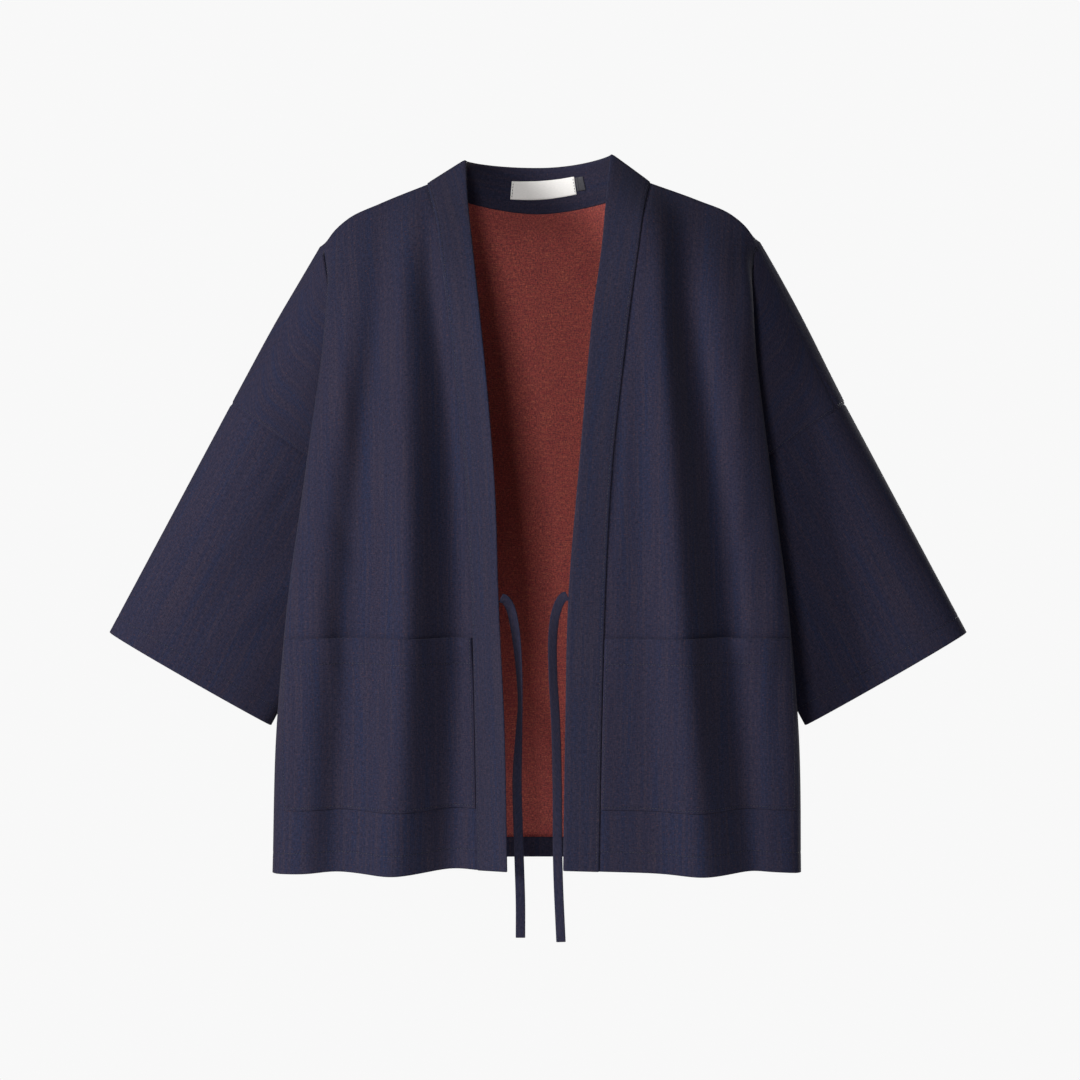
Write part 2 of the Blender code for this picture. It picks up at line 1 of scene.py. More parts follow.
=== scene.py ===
"""Looks of the kimono jacket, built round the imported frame.

The jacket hangs as it is worn: +Z up, its front facing -Y, the wearer's left at +X. Tables give the
left half in millimetres. Every cloth piece is a thin shell worked out as whole grids: a smooth curve
through the lines of a section table in each direction, folds added as bells across the cloth.
"""
import logging
import math
from dataclasses import dataclass, field
from enum import Enum

import bpy
import numpy as np
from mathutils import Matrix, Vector


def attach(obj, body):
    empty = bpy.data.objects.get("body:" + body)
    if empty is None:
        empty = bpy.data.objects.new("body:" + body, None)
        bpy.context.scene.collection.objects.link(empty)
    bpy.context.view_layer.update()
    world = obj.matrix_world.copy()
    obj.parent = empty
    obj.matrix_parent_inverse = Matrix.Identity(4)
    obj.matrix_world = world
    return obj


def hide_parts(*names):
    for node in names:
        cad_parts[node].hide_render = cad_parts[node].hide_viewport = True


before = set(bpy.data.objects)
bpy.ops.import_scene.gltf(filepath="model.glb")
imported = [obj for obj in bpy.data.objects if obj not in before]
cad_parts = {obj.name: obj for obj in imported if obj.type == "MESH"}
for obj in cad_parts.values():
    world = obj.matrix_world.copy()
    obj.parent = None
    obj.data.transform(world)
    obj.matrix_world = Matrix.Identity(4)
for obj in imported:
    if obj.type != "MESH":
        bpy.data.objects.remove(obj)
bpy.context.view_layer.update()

LOG = logging.getLogger("kimono_jacket")
MM = 0.001
Array = np.ndarray
Colour = tuple[float, float, float]


class Side(Enum):
    """The wearer's right is at -X and the left at +X."""

    RIGHT = -1
    LEFT = 1

    @property
    def word(self) -> str:
        """The side's name as it stands in the names of nodes."""
        return self.name.lower()


class Face(Enum):
    """Material slots of a cloth shell."""

    OUTER = 0
    INNER = 1


# Walls of the cloth, in mm, and the level of the underarm and of the pockets down a panel.
PANEL_WALL = 1.6
BAND_WALL = 3.0
POCKET_WALL = 1.2
TIE_WALL = 1.2
LABEL_WALL = 0.7
UNDERARM_T = 0.45
POCKET_TOP_T = 0.663
POCKET_FOOT_T = 0.91
HEM_T = 0.9705
CUFF_HEM_T = 0.925
PANEL_LENGTH = 725.0

# Rows of stitches: how far in from an edge, in mm, and how many rows of points stay free over the underarm.
EDGE_STITCH = 2.6
BAND_STITCH = 2.4
LABEL_STITCH = 1.3
UNDERARM_FREE = 12
# Distance given to points that lie by no side seam, in mm.
FAR_OFF = 99.0
# Points that fall within one part of this many to a millimetre are one point.
WELD_PARTS = 200

# A front's sections: level, then seam, middle, turn, crest, wall and side.
FRONT_SECTIONS = (
    (0.00, (115.5, -6, 0), (165, -6, -20), (200, -8, -37), (217, -12, -54), (221, -14, -61),
     (224, -15, -68)),
    (0.05, (107, -52, -36), (160, -42, -58), (198, -40, -76), (216, -34, -87), (219, -31, -93),
     (219, -26, -97)),
    (0.10, (102, -76, -71), (158, -70, -96), (199, -66, -112), (218, -56, -119), (218, -45, -123),
     (215, -33, -126)),
    (0.20, (92.5, -100, -143), (155, -94, -163), (203, -88, -176), (223, -73, -183), (217, -53, -187),
     (207, -37, -190)),
    (0.30, (84.5, -110, -214), (156, -104, -228), (211, -98, -237), (231, -81, -242), (217, -55, -246),
     (197, -34, -250)),
    (0.38, (78, -114, -272), (157, -109, -284), (217, -102, -290), (238, -85, -294), (213, -50, -297),
     (181, -20, -300)),
    (0.45, (74, -117, -322), (159, -112, -328), (221, -105, -332), (243, -88, -335), (206, -40, -338),
     (160, 0, -341)),
    (0.60, (68.5, -121, -429), (163, -116, -430), (233, -109, -431), (256, -91, -432), (226, -42, -433),
     (183, 0, -434)),
    (0.80, (64.5, -121, -572), (167, -117, -572), (243, -111, -572), (267, -93, -572), (256, -42, -573),
     (230, 0, -574)),
    (1.00, (62, -121, -712), (169, -117, -715), (246, -111, -716), (270, -93, -716), (268, -44, -715),
     (257, 0, -714)),
)

# Half of the back: level, then centre, bend, neck, middle, turn, crest, wall and side.
BACK_SECTIONS = (
    (0.00, (0, 66, -26), (82, 45, -13), (115.5, -6, 0), (165, -6, -20), (200, -8, -37), (217, -12, -54),
     (221, -14, -61), (224, -15, -68)),
    (0.05, (0, 84, -50), (80, 70, -46), (115, 40, -38), (164, 32, -50), (201, 20, -58), (218, 8, -63),
     (224, 4, -66), (229, 1, -68)),
    (0.10, (0, 97, -86), (80, 88, -84), (115, 68, -80), (163, 58, -88), (202, 44, -94), (218, 30, -98),
     (222, 24, -97), (224, 18, -95)),
    (0.20, (0, 110, -156), (80, 105, -156), (116, 95, -157), (163, 84, -165), (207, 67, -173),
     (224, 50, -179), (220, 41, -182), (211, 32, -185)),
    (0.30, (0, 115, -226), (80, 112, -228), (118, 106, -230), (165, 94, -236), (212, 77, -242),
     (231, 58, -247), (217, 44, -249), (198, 31, -251)),
    (0.38, (0, 117, -282), (80, 114, -284), (119, 109, -286), (167, 99, -290), (216, 81, -294),
     (236, 63, -297), (213, 42, -299), (181, 20, -300)),
    (0.45, (0, 118, -322), (80, 115, -324), (120, 111, -326), (168, 102, -330), (219, 84, -334),
     (240, 65, -337), (206, 34, -339), (160, 0, -341)),
    (0.60, (0, 119, -428), (80, 117, -429), (122, 113, -430), (172, 106, -431), (228, 89, -432),
     (251, 69, -433), (225, 38, -434), (183, 0, -434)),
    (0.80, (0, 119, -571), (80, 117, -571), (124, 114, -572), (177, 108, -573), (236, 93, -573),
     (261, 73, -573), (254, 38, -574), (230, 0, -574)),
    (1.00, (0, 119, -713), (80, 117, -713), (125, 115, -713), (180, 109, -713), (240, 94, -713),
     (266, 75, -713), (266, 38, -713), (257, 0, -714)),
)

# The middle of the arm between valley and armhole: level, then front and back.
ARM_SECTIONS = (
    (0.00, (265, -20, -148), (265, -20, -148)),
    (0.05, (257, -34, -176), (276, 0, -147)),
    (0.10, (246, -40, -203), (268, 18, -157)),
    (0.20, (222, -37, -246), (238, 36, -214)),
    (0.30, (196, -26, -286), (205, 28, -280)),
    (0.38, (174, -12, -318), (177, 12, -317)),
    (0.45, (160, 0, -341), (160, 0, -341)),
)

# The band's free edge: level, then its place on the wearer's right and left, measured out from the centre.
BAND_EDGES = (
    (0.00, (76.5, 0, 25), (76.5, 0, 30.5)),
    (0.05, (73.5, -42, -22), (71.5, -40, -18)),
    (0.10, (69, -72, -63), (67.5, -68, -61)),
    (0.20, (60.5, -107, -140), (57, -99, -140)),
    (0.30, (53, -124, -213), (50, -110, -213)),
    (0.38, (48, -130, -272), (45, -115, -272)),
    (0.45, (44.5, -134, -322), (40.5, -118, -322)),
    (0.60, (41, -138, -429), (32, -121, -429)),
    (0.80, (34.5, -138, -571), (28.5, -121, -571)),
    (1.00, (32, -137, -711), (26.5, -121, -711)),
)
COLLAR_BACK = (60.0, 21.5)

# Ties: x, y, z of the middle line, and the twist in degrees.
TIE_WIDTH = 9.5
TIE_LINES = {
    Side.RIGHT: (
        (-37.6, -137, -432, 0), (-33, -135, -434.5, 5), (-28, -131, -443, 10), (-24.5, -128, -458, 15),
        (-21.5, -124, -480, 30), (-19, -121, -515, 52), (-18.5, -119, -545, 60), (-20, -118, -578, 40),
        (-21.5, -118, -620, 10), (-20.5, -118, -665, 0), (-19, -118, -710, -5), (-18, -118, -745, -5),
        (-18, -118, -780, 0)),
    Side.LEFT: (
        (29.8, -121, -430, 0), (25, -120, -432.5, 0), (20, -118, -442, -6), (16.5, -116, -457, -12),
        (14.8, -114, -480, -18), (15.5, -112, -515, -20), (17.6, -111, -550, -15), (19, -111, -590, -10),
        (19.8, -111, -640, 0), (20, -111, -690, 5), (21, -111, -730, 8), (23.5, -111, -785, 10)),
}


@dataclass(frozen=True)
class Oval:
    """An oval between the ridge on top of the arm and the foot under it, pinched to the foot."""

    ridge: tuple[float, float, float]
    foot: tuple[float, float, float]
    half_depth: float
    pinch: float

    def at(self, angle: Array) -> Array:
        """Points round the oval.

        Depth is half_depth times the sine of the angle, times one plus pinch times its cosine.

        Args:
            angle: angles, 0 at the ridge, pi at the foot, forward positive.

        Returns:
            Points, one for each angle, in mm.
        """
        turn = np.asarray(angle)[..., None]
        ridge, foot = np.array(self.ridge, float), np.array(self.foot, float)
        depth = self.half_depth * np.sin(turn) * (1 + self.pinch * np.cos(turn))
        return ridge + (foot - ridge) * (1 - np.cos(turn)) / 2 - depth * np.array([0, 1, 0])


ARMHOLE = Oval((321, 0, -230), (160, 0, -341), 31, 0.85)
CUFF = Oval((449.5, 4, -470), (281, 4, -567), 29, 0.2)
SHOULDER_SEAM_ANGLE = math.radians(28)


@dataclass(frozen=True)
class Fold:
    """A long fold down a panel, as rows of level, distance from the centre, half width and depth."""

    rows: tuple[tuple[float, float, float, float], ...]

    def depth_at(self, points: Array, t: Array) -> Array:
        """Depth of the fold at each point: a bell across, exp(-(offset / half width)^2) times the depth.

        Args:
            points: grid of points in mm.
            t: level of each row.

        Returns:
            Depth at each point, ridges positive.
        """
        table = np.array(self.rows, float)
        distance, width, height = curve_through(table[:, 0], table[:, 1:], t).T[:, :, None]
        return height * np.exp(-((np.abs(points[:, :, 0]) - distance) / width) ** 2)


@dataclass(frozen=True)
class Crease:
    """A short soft crease along a straight line in X and Z, as seen from the front."""

    start: tuple[float, float]
    end: tuple[float, float]
    half_width: float
    depth: float

    def depth_at(self, points: Array) -> Array:
        """Depth at each point: a bell of the distance to the line, swelling in its middle.

        Args:
            points: points in mm, X counted out from the centre line.

        Returns:
            Depth at each point, ridges positive.
        """
        place = np.stack([np.abs(points[..., 0]), points[..., 2]], axis=-1)
        start = np.array(self.start, float)
        run = np.array(self.end, float) - start
        along = ((place - start) @ run) / float(run @ run)
        held = np.clip(along, 0, 1)
        away = np.linalg.norm(place - start - held[..., None] * run, axis=-1)
        swell = np.sin(np.pi * (0.08 + 0.84 * held)) ** 0.7
        return self.depth * swell * np.exp(-(away / self.half_width) ** 2)


FRONT_FOLDS = {
    Side.RIGHT: (
        Fold(((0, 136, 14, 0), (0.1, 140, 14, 5), (0.3, 136, 19, 12), (0.6, 134, 21, 17),
              (1, 148, 26, 14))),
        Fold(((0, 109, 12, 0), (0.1, 112, 13, -8), (0.3, 96, 18, -14), (0.6, 85, 24, -19),
              (1, 87, 26, -17))),
        Fold(((0, 165, 16, 0), (0.15, 166, 18, -6), (0.4, 184, 24, -13), (0.65, 196, 27, -17),
              (1, 208, 28, -15))),
    ),
    Side.LEFT: (
        Fold(((0, 122, 14, 0), (0.15, 122, 16, 8), (0.4, 133, 21, 15), (0.7, 147, 24, 19),
              (1, 166, 29, 15))),
        Fold(((0, 150, 16, 0), (0.15, 154, 18, -9), (0.4, 178, 20, -17), (0.7, 199, 22, -20),
              (1, 220, 24, -16))),
        Fold(((0, 190, 20, 0), (0.3, 206, 18, -1), (0.6, 228, 20, -7), (1, 248, 24, -8))),
    ),
}
BACK_FOLDS = (
    Fold(((0, 60, 30, 0), (0.3, 70, 34, 6), (0.6, 82, 36, 11), (1, 88, 38, 11))),
    Fold(((0, 130, 30, 0), (0.3, 132, 28, -8), (0.6, 140, 30, -14), (1, 150, 32, -14))),
    Fold(((0, 190, 20, 0), (0.3, 178, 24, 6), (0.6, 194, 28, 10), (1, 206, 28, 10))),
)
HEM_SWAY = 0.17
# No fold within the first length of a side seam or an arm, and its full depth the second length further in.
SIDE_PLAIN, SIDE_FADE = 30.0, 40.0

FRONT_CREASES = {
    Side.RIGHT: (
        Crease((206, -150), (196, -300), 9, 1.6), Crease((222, -330), (170, -410), 12, -1.4),
        Crease((228, -420), (205, -560), 11, 1.4), Crease((150, -130), (150, -330), 11, 1.2),
    ),
    Side.LEFT: (
        Crease((212, -120), (206, -260), 8, 1.4), Crease((228, -340), (190, -430), 12, -1.6),
        Crease((244, -400), (236, -560), 9, 1.6), Crease((112, -240), (108, -420), 9, -1.0),
        Crease((101, -95), (88, -214), 4.5, -1.9), Crease((88, -214), (74, -400), 4.5, -2.2),
        Crease((74, -400), (71, -520), 4.5, -1.3),
    ),
}
BACK_CREASES = (
    Crease((212, -120), (150, -190), 13, 2.0), Crease((222, -200), (150, -300), 15, -2.2),
    Crease((225, -330), (165, -470), 13, 2.0), Crease((30, -110), (26, -330), 16, 1.4),
    Crease((236, -430), (222, -620), 11, 1.8),
)
SLEEVE_CREASES = (
    Crease((190, -372), (330, -470), 16, 1.8), Crease((205, -400), (300, -560), 13, -1.6),
    Crease((262, -300), (372, -440), 20, 1.3), Crease((330, -262), (420, -420), 18, -1.2),
    Crease((222, -340), (250, -372), 7, 1.1), Crease((254, -314), (276, -344), 7, -1.0),
    Crease((284, -292), (304, -318), 7, 1.0),
)

# The left shoulder sits a little higher and further out: centre, shift and reach of a soft bell.
LEFT_SHOULDER = (np.array([235.0, 0, -70]), np.array([4.0, 0, 5]), 130.0)


def curve_through(knots: Array, values: Array, at: Array) -> Array:
    """Values on a smooth curve through rows: cubic between two rows, each slope a parabola's.

    Args:
        knots: parameter of each row.
        values: the rows, of any shape.
        at: parameters to read the curve at.

    Returns:
        A row for each parameter.
    """
    knots, values, at = (np.asarray(part, float) for part in (knots, values, at))
    flat = values.reshape(len(knots), -1)
    slopes = np.gradient(flat, knots, axis=0)
    low = np.clip(np.searchsorted(knots, at, side="right") - 1, 0, len(knots) - 2)
    span = (knots[low + 1] - knots[low])[:, None]
    part = (at - knots[low])[:, None] / span
    leaving, coming = span * slopes[low], span * slopes[low + 1]
    result = (flat[low] * (1 + 2 * part) * (1 - part) ** 2 + flat[low + 1] * part ** 2 * (3 - 2 * part)
              + leaving * part * (1 - part) ** 2 + coming * part ** 2 * (part - 1))
    return result.reshape((len(at),) + values.shape[1:])


def curve_to_corner(knots: Array, values: Array, at: Array, corner: float) -> Array:
    """As curve_through, with a true corner in the curve at the parameter `corner`."""
    knots, values, at = (np.asarray(part, float) for part in (knots, values, at))
    upper = curve_through(knots[knots <= corner], values[knots <= corner], at[at <= corner])
    lower = curve_through(knots[knots >= corner], values[knots >= corner], at[at > corner])
    return np.concatenate([upper, lower])


def shares(count: int, at_start: bool = False, at_end: bool = False) -> Array:
    """Even shares from 0 up to 1, with three more close to a sewn end so that its rounding has points."""
    even = np.linspace(0, 1, count + 1)[:-1]
    near = np.array([0.18, 0.42, 0.7]) / count
    parts = [even] + ([near] if at_start else []) + ([1 - near] if at_end else [])
    return np.unique(np.concatenate(parts))


def rows_through(lines: Array, steps: list[Array]) -> Array:
    """Fill each row between its lines with a smooth curve through them.

    Args:
        lines: rows by lines by 3, in mm.
        steps: for each gap between two lines, the shares of the gap to put points at.

    Returns:
        Grid of points.
    """
    chords = np.linalg.norm(np.diff(lines, axis=1), axis=2)
    knots = np.concatenate([np.zeros((len(lines), 1)), np.cumsum(chords, axis=1)], axis=1)
    filled = []
    for row, knot in zip(lines, knots):
        at = [knot[k] + (knot[k + 1] - knot[k]) * step for k, step in enumerate(steps)]
        filled.append(curve_through(knot, row, np.concatenate(at + [knot[-1:]])))
    return np.array(filled)


def grid_normals(points: Array) -> Array:
    """Unit normals of a grid: the way down the rows crossed with the way along them."""
    normal = np.cross(np.gradient(points, axis=0), np.gradient(points, axis=1))
    return normal / np.maximum(np.linalg.norm(normal, axis=2, keepdims=True), 1e-9)


def arcs(points: Array, axis: int) -> Array:
    """Length along the grid from its first row or column to each point."""
    steps = np.linalg.norm(np.diff(points, axis=axis), axis=2)
    pad = [(0, 0), (0, 0)]
    pad[axis] = (1, 0)
    return np.cumsum(np.pad(steps, pad), axis=axis)


def smooth_step(value: Array) -> Array:
    """0 below 0, 1 above 1, and 3v^2 - 2v^3 between."""
    part = np.clip(value, 0, 1)
    return part * part * (3 - 2 * part)


def mirrored(points: Array) -> Array:
    """The same grid on the other side of the centre line."""
    return points * np.array([-1.0, 1, 1])


def shouldered(points: Array) -> Array:
    """Points moved with the left shoulder, faded by exp(-distance^2) in X and Z."""
    centre, shift, reach = LEFT_SHOULDER
    away = (points - centre) / reach
    return points + np.exp(-away[..., 0] ** 2 - away[..., 2] ** 2)[..., None] * shift


def armhole_angles(t: Array, forward: bool) -> Array:
    """Angle round the armhole where the row of each level ends, on the front or the back."""
    share = np.asarray(t) / UNDERARM_T
    if forward:
        return SHOULDER_SEAM_ANGLE + (math.pi - SHOULDER_SEAM_ANGLE) * share
    return SHOULDER_SEAM_ANGLE - (math.pi + SHOULDER_SEAM_ANGLE) * share


LEVELS = np.concatenate([
    [0, 0.0012, 0.0028, 0.005], np.linspace(0.009, UNDERARM_T, 82),
    np.linspace(UNDERARM_T, HEM_T - 0.004, 92)[1:], [HEM_T - 0.0015, HEM_T, HEM_T + 0.0015],
    np.linspace(HEM_T + 0.004, 0.9955, 5), [0.998, 1.0]])
UNDERARM_ROW = int(np.searchsorted(LEVELS, UNDERARM_T))


@dataclass
class Patch:
    """One grid of a cloth piece, with what its two faces need at each point.

    Attributes:
        points: rows by columns by 3, the middle of the wall, in mm.
        across: length across the cloth at each point, for its weave, in mm.
        along: length down the cloth at each point, in mm.
        sink: how far the outer face rolls in at a seam, in mm.
        backing: how much thicker the inner side is, in mm.
        turned: rows whose inner face shows the outer side of the cloth, as at a turned-up hem.
    """

    points: Array
    across: Array
    along: Array
    sink: Array = field(default=None)
    backing: Array = field(default=None)
    turned: Array = field(default=None)

    def __post_init__(self) -> None:
        shape = self.points.shape[:2]
        self.sink = np.zeros(shape) if self.sink is None else np.broadcast_to(self.sink, shape)
        self.backing = np.zeros(shape) if self.backing is None else np.broadcast_to(self.backing, shape)
        self.turned = np.zeros(shape, bool) if self.turned is None else np.broadcast_to(self.turned, shape)
        self.across = np.broadcast_to(self.across, shape)
        self.along = np.broadcast_to(self.along, shape)


SEAM_SINK = 0.85
SEAM_ROLL = 2.2


def seam_sink(distance: Array, sink: float = SEAM_SINK, roll: float = SEAM_ROLL) -> Array:
    """Depth that a face rolls in beside a seam: sink times exp(-(distance / roll)^2), in mm."""
    return sink * np.exp(-(distance / roll) ** 2)


def stitch_groove(distance: Array, place: float, depth: float = 0.32, width: float = 1.5) -> Array:
    """Shallow groove that a row of stitches pulls in at a distance from an edge, in mm."""
    return depth * np.exp(-((distance - place) / width) ** 2)


@dataclass(frozen=True)
class TurnedHem:
    """A hem turned up inside: its stitches' height over the edge, its own, and its wall, in mm."""

    stitch: float
    height: float
    wall: float
    groove: float
    groove_width: float

    def faces(self, above: Array) -> tuple[Array, Array]:
        """What the hem does to the two faces.

        Args:
            above: height of each point over the edge.

        Returns:
            Sink of the outer face and backing of the inner one: the wall, faded out at the hem's top.
        """
        backing = self.wall * smooth_step((self.height - above) / 1.5)
        return stitch_groove(above, self.stitch, self.groove, self.groove_width), backing


BODY_HEM = TurnedHem(20.5, 22.5, 1.3, 0.22, 1.4)
CUFF_HEM = TurnedHem(19.0, 20.5, 1.2, 0.25, 1.3)


@dataclass
class ClothShell:
    """A cloth piece: patches welded into one surface and given two faces and a rounded rim.

    Attributes:
        name: name of the piece and of the node that it stands for.
        wall: thickness in mm.
        patches: the grids.
        outward: whether the grids' own order of corners faces out.
        finishes: materials of the outer and the inner face.
        slot: the record's material slot.
        rim: how far the rounded edge stands out, as a share of the wall.
    """

    name: str
    wall: float
    patches: list[Patch]
    outward: bool
    finishes: tuple[bpy.types.Material, bpy.types.Material]
    # slot: the record's material slot; not used.
    slot: str
    rim: float = 0.35
    points: Array = field(init=False)
    normals: Array = field(init=False)
    index: list[Array] = field(init=False)

    def weld(self) -> tuple[Array, Array]:
        """Join points that fall together.

        Returns:
            First place of each kept point among all points, and the four corners of each cell.
        """
        everything = np.concatenate([patch.points.reshape(-1, 3) for patch in self.patches])
        keys = np.round(everything * WELD_PARTS).astype(np.int64)
        _, first, inverse = np.unique(keys, axis=0, return_index=True, return_inverse=True)
        self.points = everything[first]
        self.index, start, cells = [], 0, []
        for patch in self.patches:
            size = patch.points.shape[0] * patch.points.shape[1]
            grid = inverse.reshape(-1)[start:start + size].reshape(patch.points.shape[:2])
            self.index.append(grid)
            cells.append(np.stack([grid[:-1, :-1], grid[1:, :-1], grid[1:, 1:], grid[:-1, 1:]], axis=-1)
                         .reshape(-1, 4))
            start += size
        corners = np.concatenate(cells)
        return first, corners if self.outward else corners[:, ::-1]

    @staticmethod
    def vertex_normals(points: Array, corners: Array) -> Array:
        """Unit normal at each point: the sum of the cross products of the diagonals of its cells."""
        crossed = np.cross(points[corners[:, 2]] - points[corners[:, 0]],
                           points[corners[:, 3]] - points[corners[:, 1]])
        normals = np.zeros_like(points)
        for k in range(4):
            np.add.at(normals, corners[:, k], crossed)
        return normals / np.maximum(np.linalg.norm(normals, axis=1, keepdims=True), 1e-9)

    @staticmethod
    def border_edges(corners: Array) -> Array:
        """Directed edges of the cells that no other cell runs back along."""
        edges = np.concatenate([corners[:, [k, (k + 1) % 4]] for k in range(4)])
        edges = edges[edges[:, 0] != edges[:, 1]]
        size = int(edges.max()) + 1
        forward = edges[:, 0].astype(np.int64) * size + edges[:, 1]
        back = edges[:, 1].astype(np.int64) * size + edges[:, 0]
        return edges[~np.isin(forward, back)]

    def build(self) -> bpy.types.Object:
        """Make the mesh.

        Each point moves out by half the wall less its sink, and in by half the wall plus its backing.
        The rim's points stand out from the border by a share of the wall.

        Returns:
            The new object, riding on the root and standing for its node.
        """
        first, corners = self.weld()
        flat = {name: np.concatenate([getattr(patch, name).reshape(-1) for patch in self.patches])[first]
                for name in ("across", "along", "sink", "backing", "turned")}
        self.normals = self.vertex_normals(self.points, corners)
        half, count = self.wall / 2, len(self.points)
        outer = self.points + self.normals * (half - flat["sink"])[:, None]
        inner = self.points - self.normals * (half + flat["backing"])[:, None]
        edges = self.border_edges(corners)
        ways = np.cross(self.points[edges[:, 1]] - self.points[edges[:, 0]], self.normals[edges[:, 0]])
        out = np.zeros_like(self.points)
        np.add.at(out, edges[:, 0], ways)
        np.add.at(out, edges[:, 1], ways)
        on_rim = np.unique(edges)
        out = out[on_rim] / np.maximum(np.linalg.norm(out[on_rim], axis=1, keepdims=True), 1e-9)
        rim = (outer[on_rim] + inner[on_rim]) / 2 + out * self.wall * self.rim
        place = np.zeros(count, np.int64)
        place[on_rim] = 2 * count + np.arange(len(on_rim))
        a, b = edges[:, 0], edges[:, 1]
        strips = np.concatenate([np.stack([b, a, place[a], place[b]], axis=1),
                                 np.stack([place[b], place[a], a + count, b + count], axis=1)])
        faces = np.concatenate([corners, corners[:, ::-1] + count, strips])
        turned = flat["turned"][corners].all(axis=1)
        slots = np.concatenate([np.full(len(corners), Face.OUTER.value),
                                np.where(turned, Face.OUTER.value, Face.INNER.value),
                                np.full(len(strips), Face.OUTER.value)])
        source = np.concatenate([np.arange(count), np.arange(count), on_rim])
        weave = np.stack([flat["across"][source], flat["along"][source]], axis=1) * MM
        piece = mesh_object(self.name, np.concatenate([outer, inner, rim]) * MM, faces, slots, weave)
        for finish in self.finishes:
            piece.data.materials.append(finish)
        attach(piece, "root")
        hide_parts(self.name)
        LOG.info("%s: %d points, %d faces", self.name, len(piece.data.vertices), len(piece.data.polygons))
        return piece

    def surface(self, patch: int, rows: Array, columns: Array, lift: float) -> tuple[Array, Array]:
        """Places on the outer face and their normals.

        Args:
            patch: which grid.
            rows: row of each place, whole or between two rows.
            columns: column of each place, the same way.
            lift: how far over the face, in mm.

        Returns:
            Points in mm and unit normals.
        """
        grid = self.index[patch]
        normals = blended(self.normals[grid], rows, columns)
        normals /= np.maximum(np.linalg.norm(normals, axis=-1, keepdims=True), 1e-9)
        sink = blended(self.patches[patch].sink[:, :, None], rows, columns)
        points = blended(self.points[grid], rows, columns)
        return points + normals * (self.wall / 2 - sink + lift), normals


def blended(grid: Array, rows: Array, columns: Array) -> Array:
    """Values of a grid between its points, straight in both directions."""
    rows = np.clip(rows, 0, grid.shape[0] - 1.0001)
    columns = np.clip(columns, 0, grid.shape[1] - 1.0001)
    i, j = rows.astype(int), columns.astype(int)
    u, v = (rows - i)[..., None], (columns - j)[..., None]
    return (grid[i, j] * (1 - u) * (1 - v) + grid[i + 1, j] * u * (1 - v)
            + grid[i, j + 1] * (1 - u) * v + grid[i + 1, j + 1] * u * v)


def mesh_object(name: str, points: Array, faces: Array, slots: Array, weave: Array) -> bpy.types.Object:
    """Put arrays into a mesh, with cells whose corners fell together turned into triangles.

    Args:
        name: name of the object.
        points: places in metres.
        faces: four corners each.
        slots: material slot of each face.
        weave: place in the weave of each point, in metres.

    Returns:
        The object, linked to the scene.
    """
    kept = faces != np.roll(faces, 1, axis=1)
    sizes = kept.sum(axis=1)
    faces, kept, sizes, slots = faces[sizes > 2], kept[sizes > 2], sizes[sizes > 2], slots[sizes > 2]
    loops = faces[kept]
    mesh = bpy.data.meshes.new(name)
    mesh.vertices.add(len(points))
    mesh.vertices.foreach_set("co", points.astype(np.float32).reshape(-1))
    mesh.loops.add(len(loops))
    mesh.loops.foreach_set("vertex_index", loops.astype(np.int32))
    mesh.polygons.add(len(sizes))
    mesh.polygons.foreach_set("loop_start", np.concatenate([[0], np.cumsum(sizes)[:-1]]).astype(np.int32))
    mesh.polygons.foreach_set("material_index", slots.astype(np.int32))
    mesh.polygons.foreach_set("use_smooth", np.ones(len(sizes), bool))
    layer = mesh.uv_layers.new(name="weave")
    layer.data.foreach_set("uv", weave[loops].astype(np.float32).reshape(-1))
    mesh.update(calc_edges=True)
    mesh.validate()
    piece = bpy.data.objects.new(name, mesh)
    bpy.context.scene.collection.objects.link(piece)
    return piece


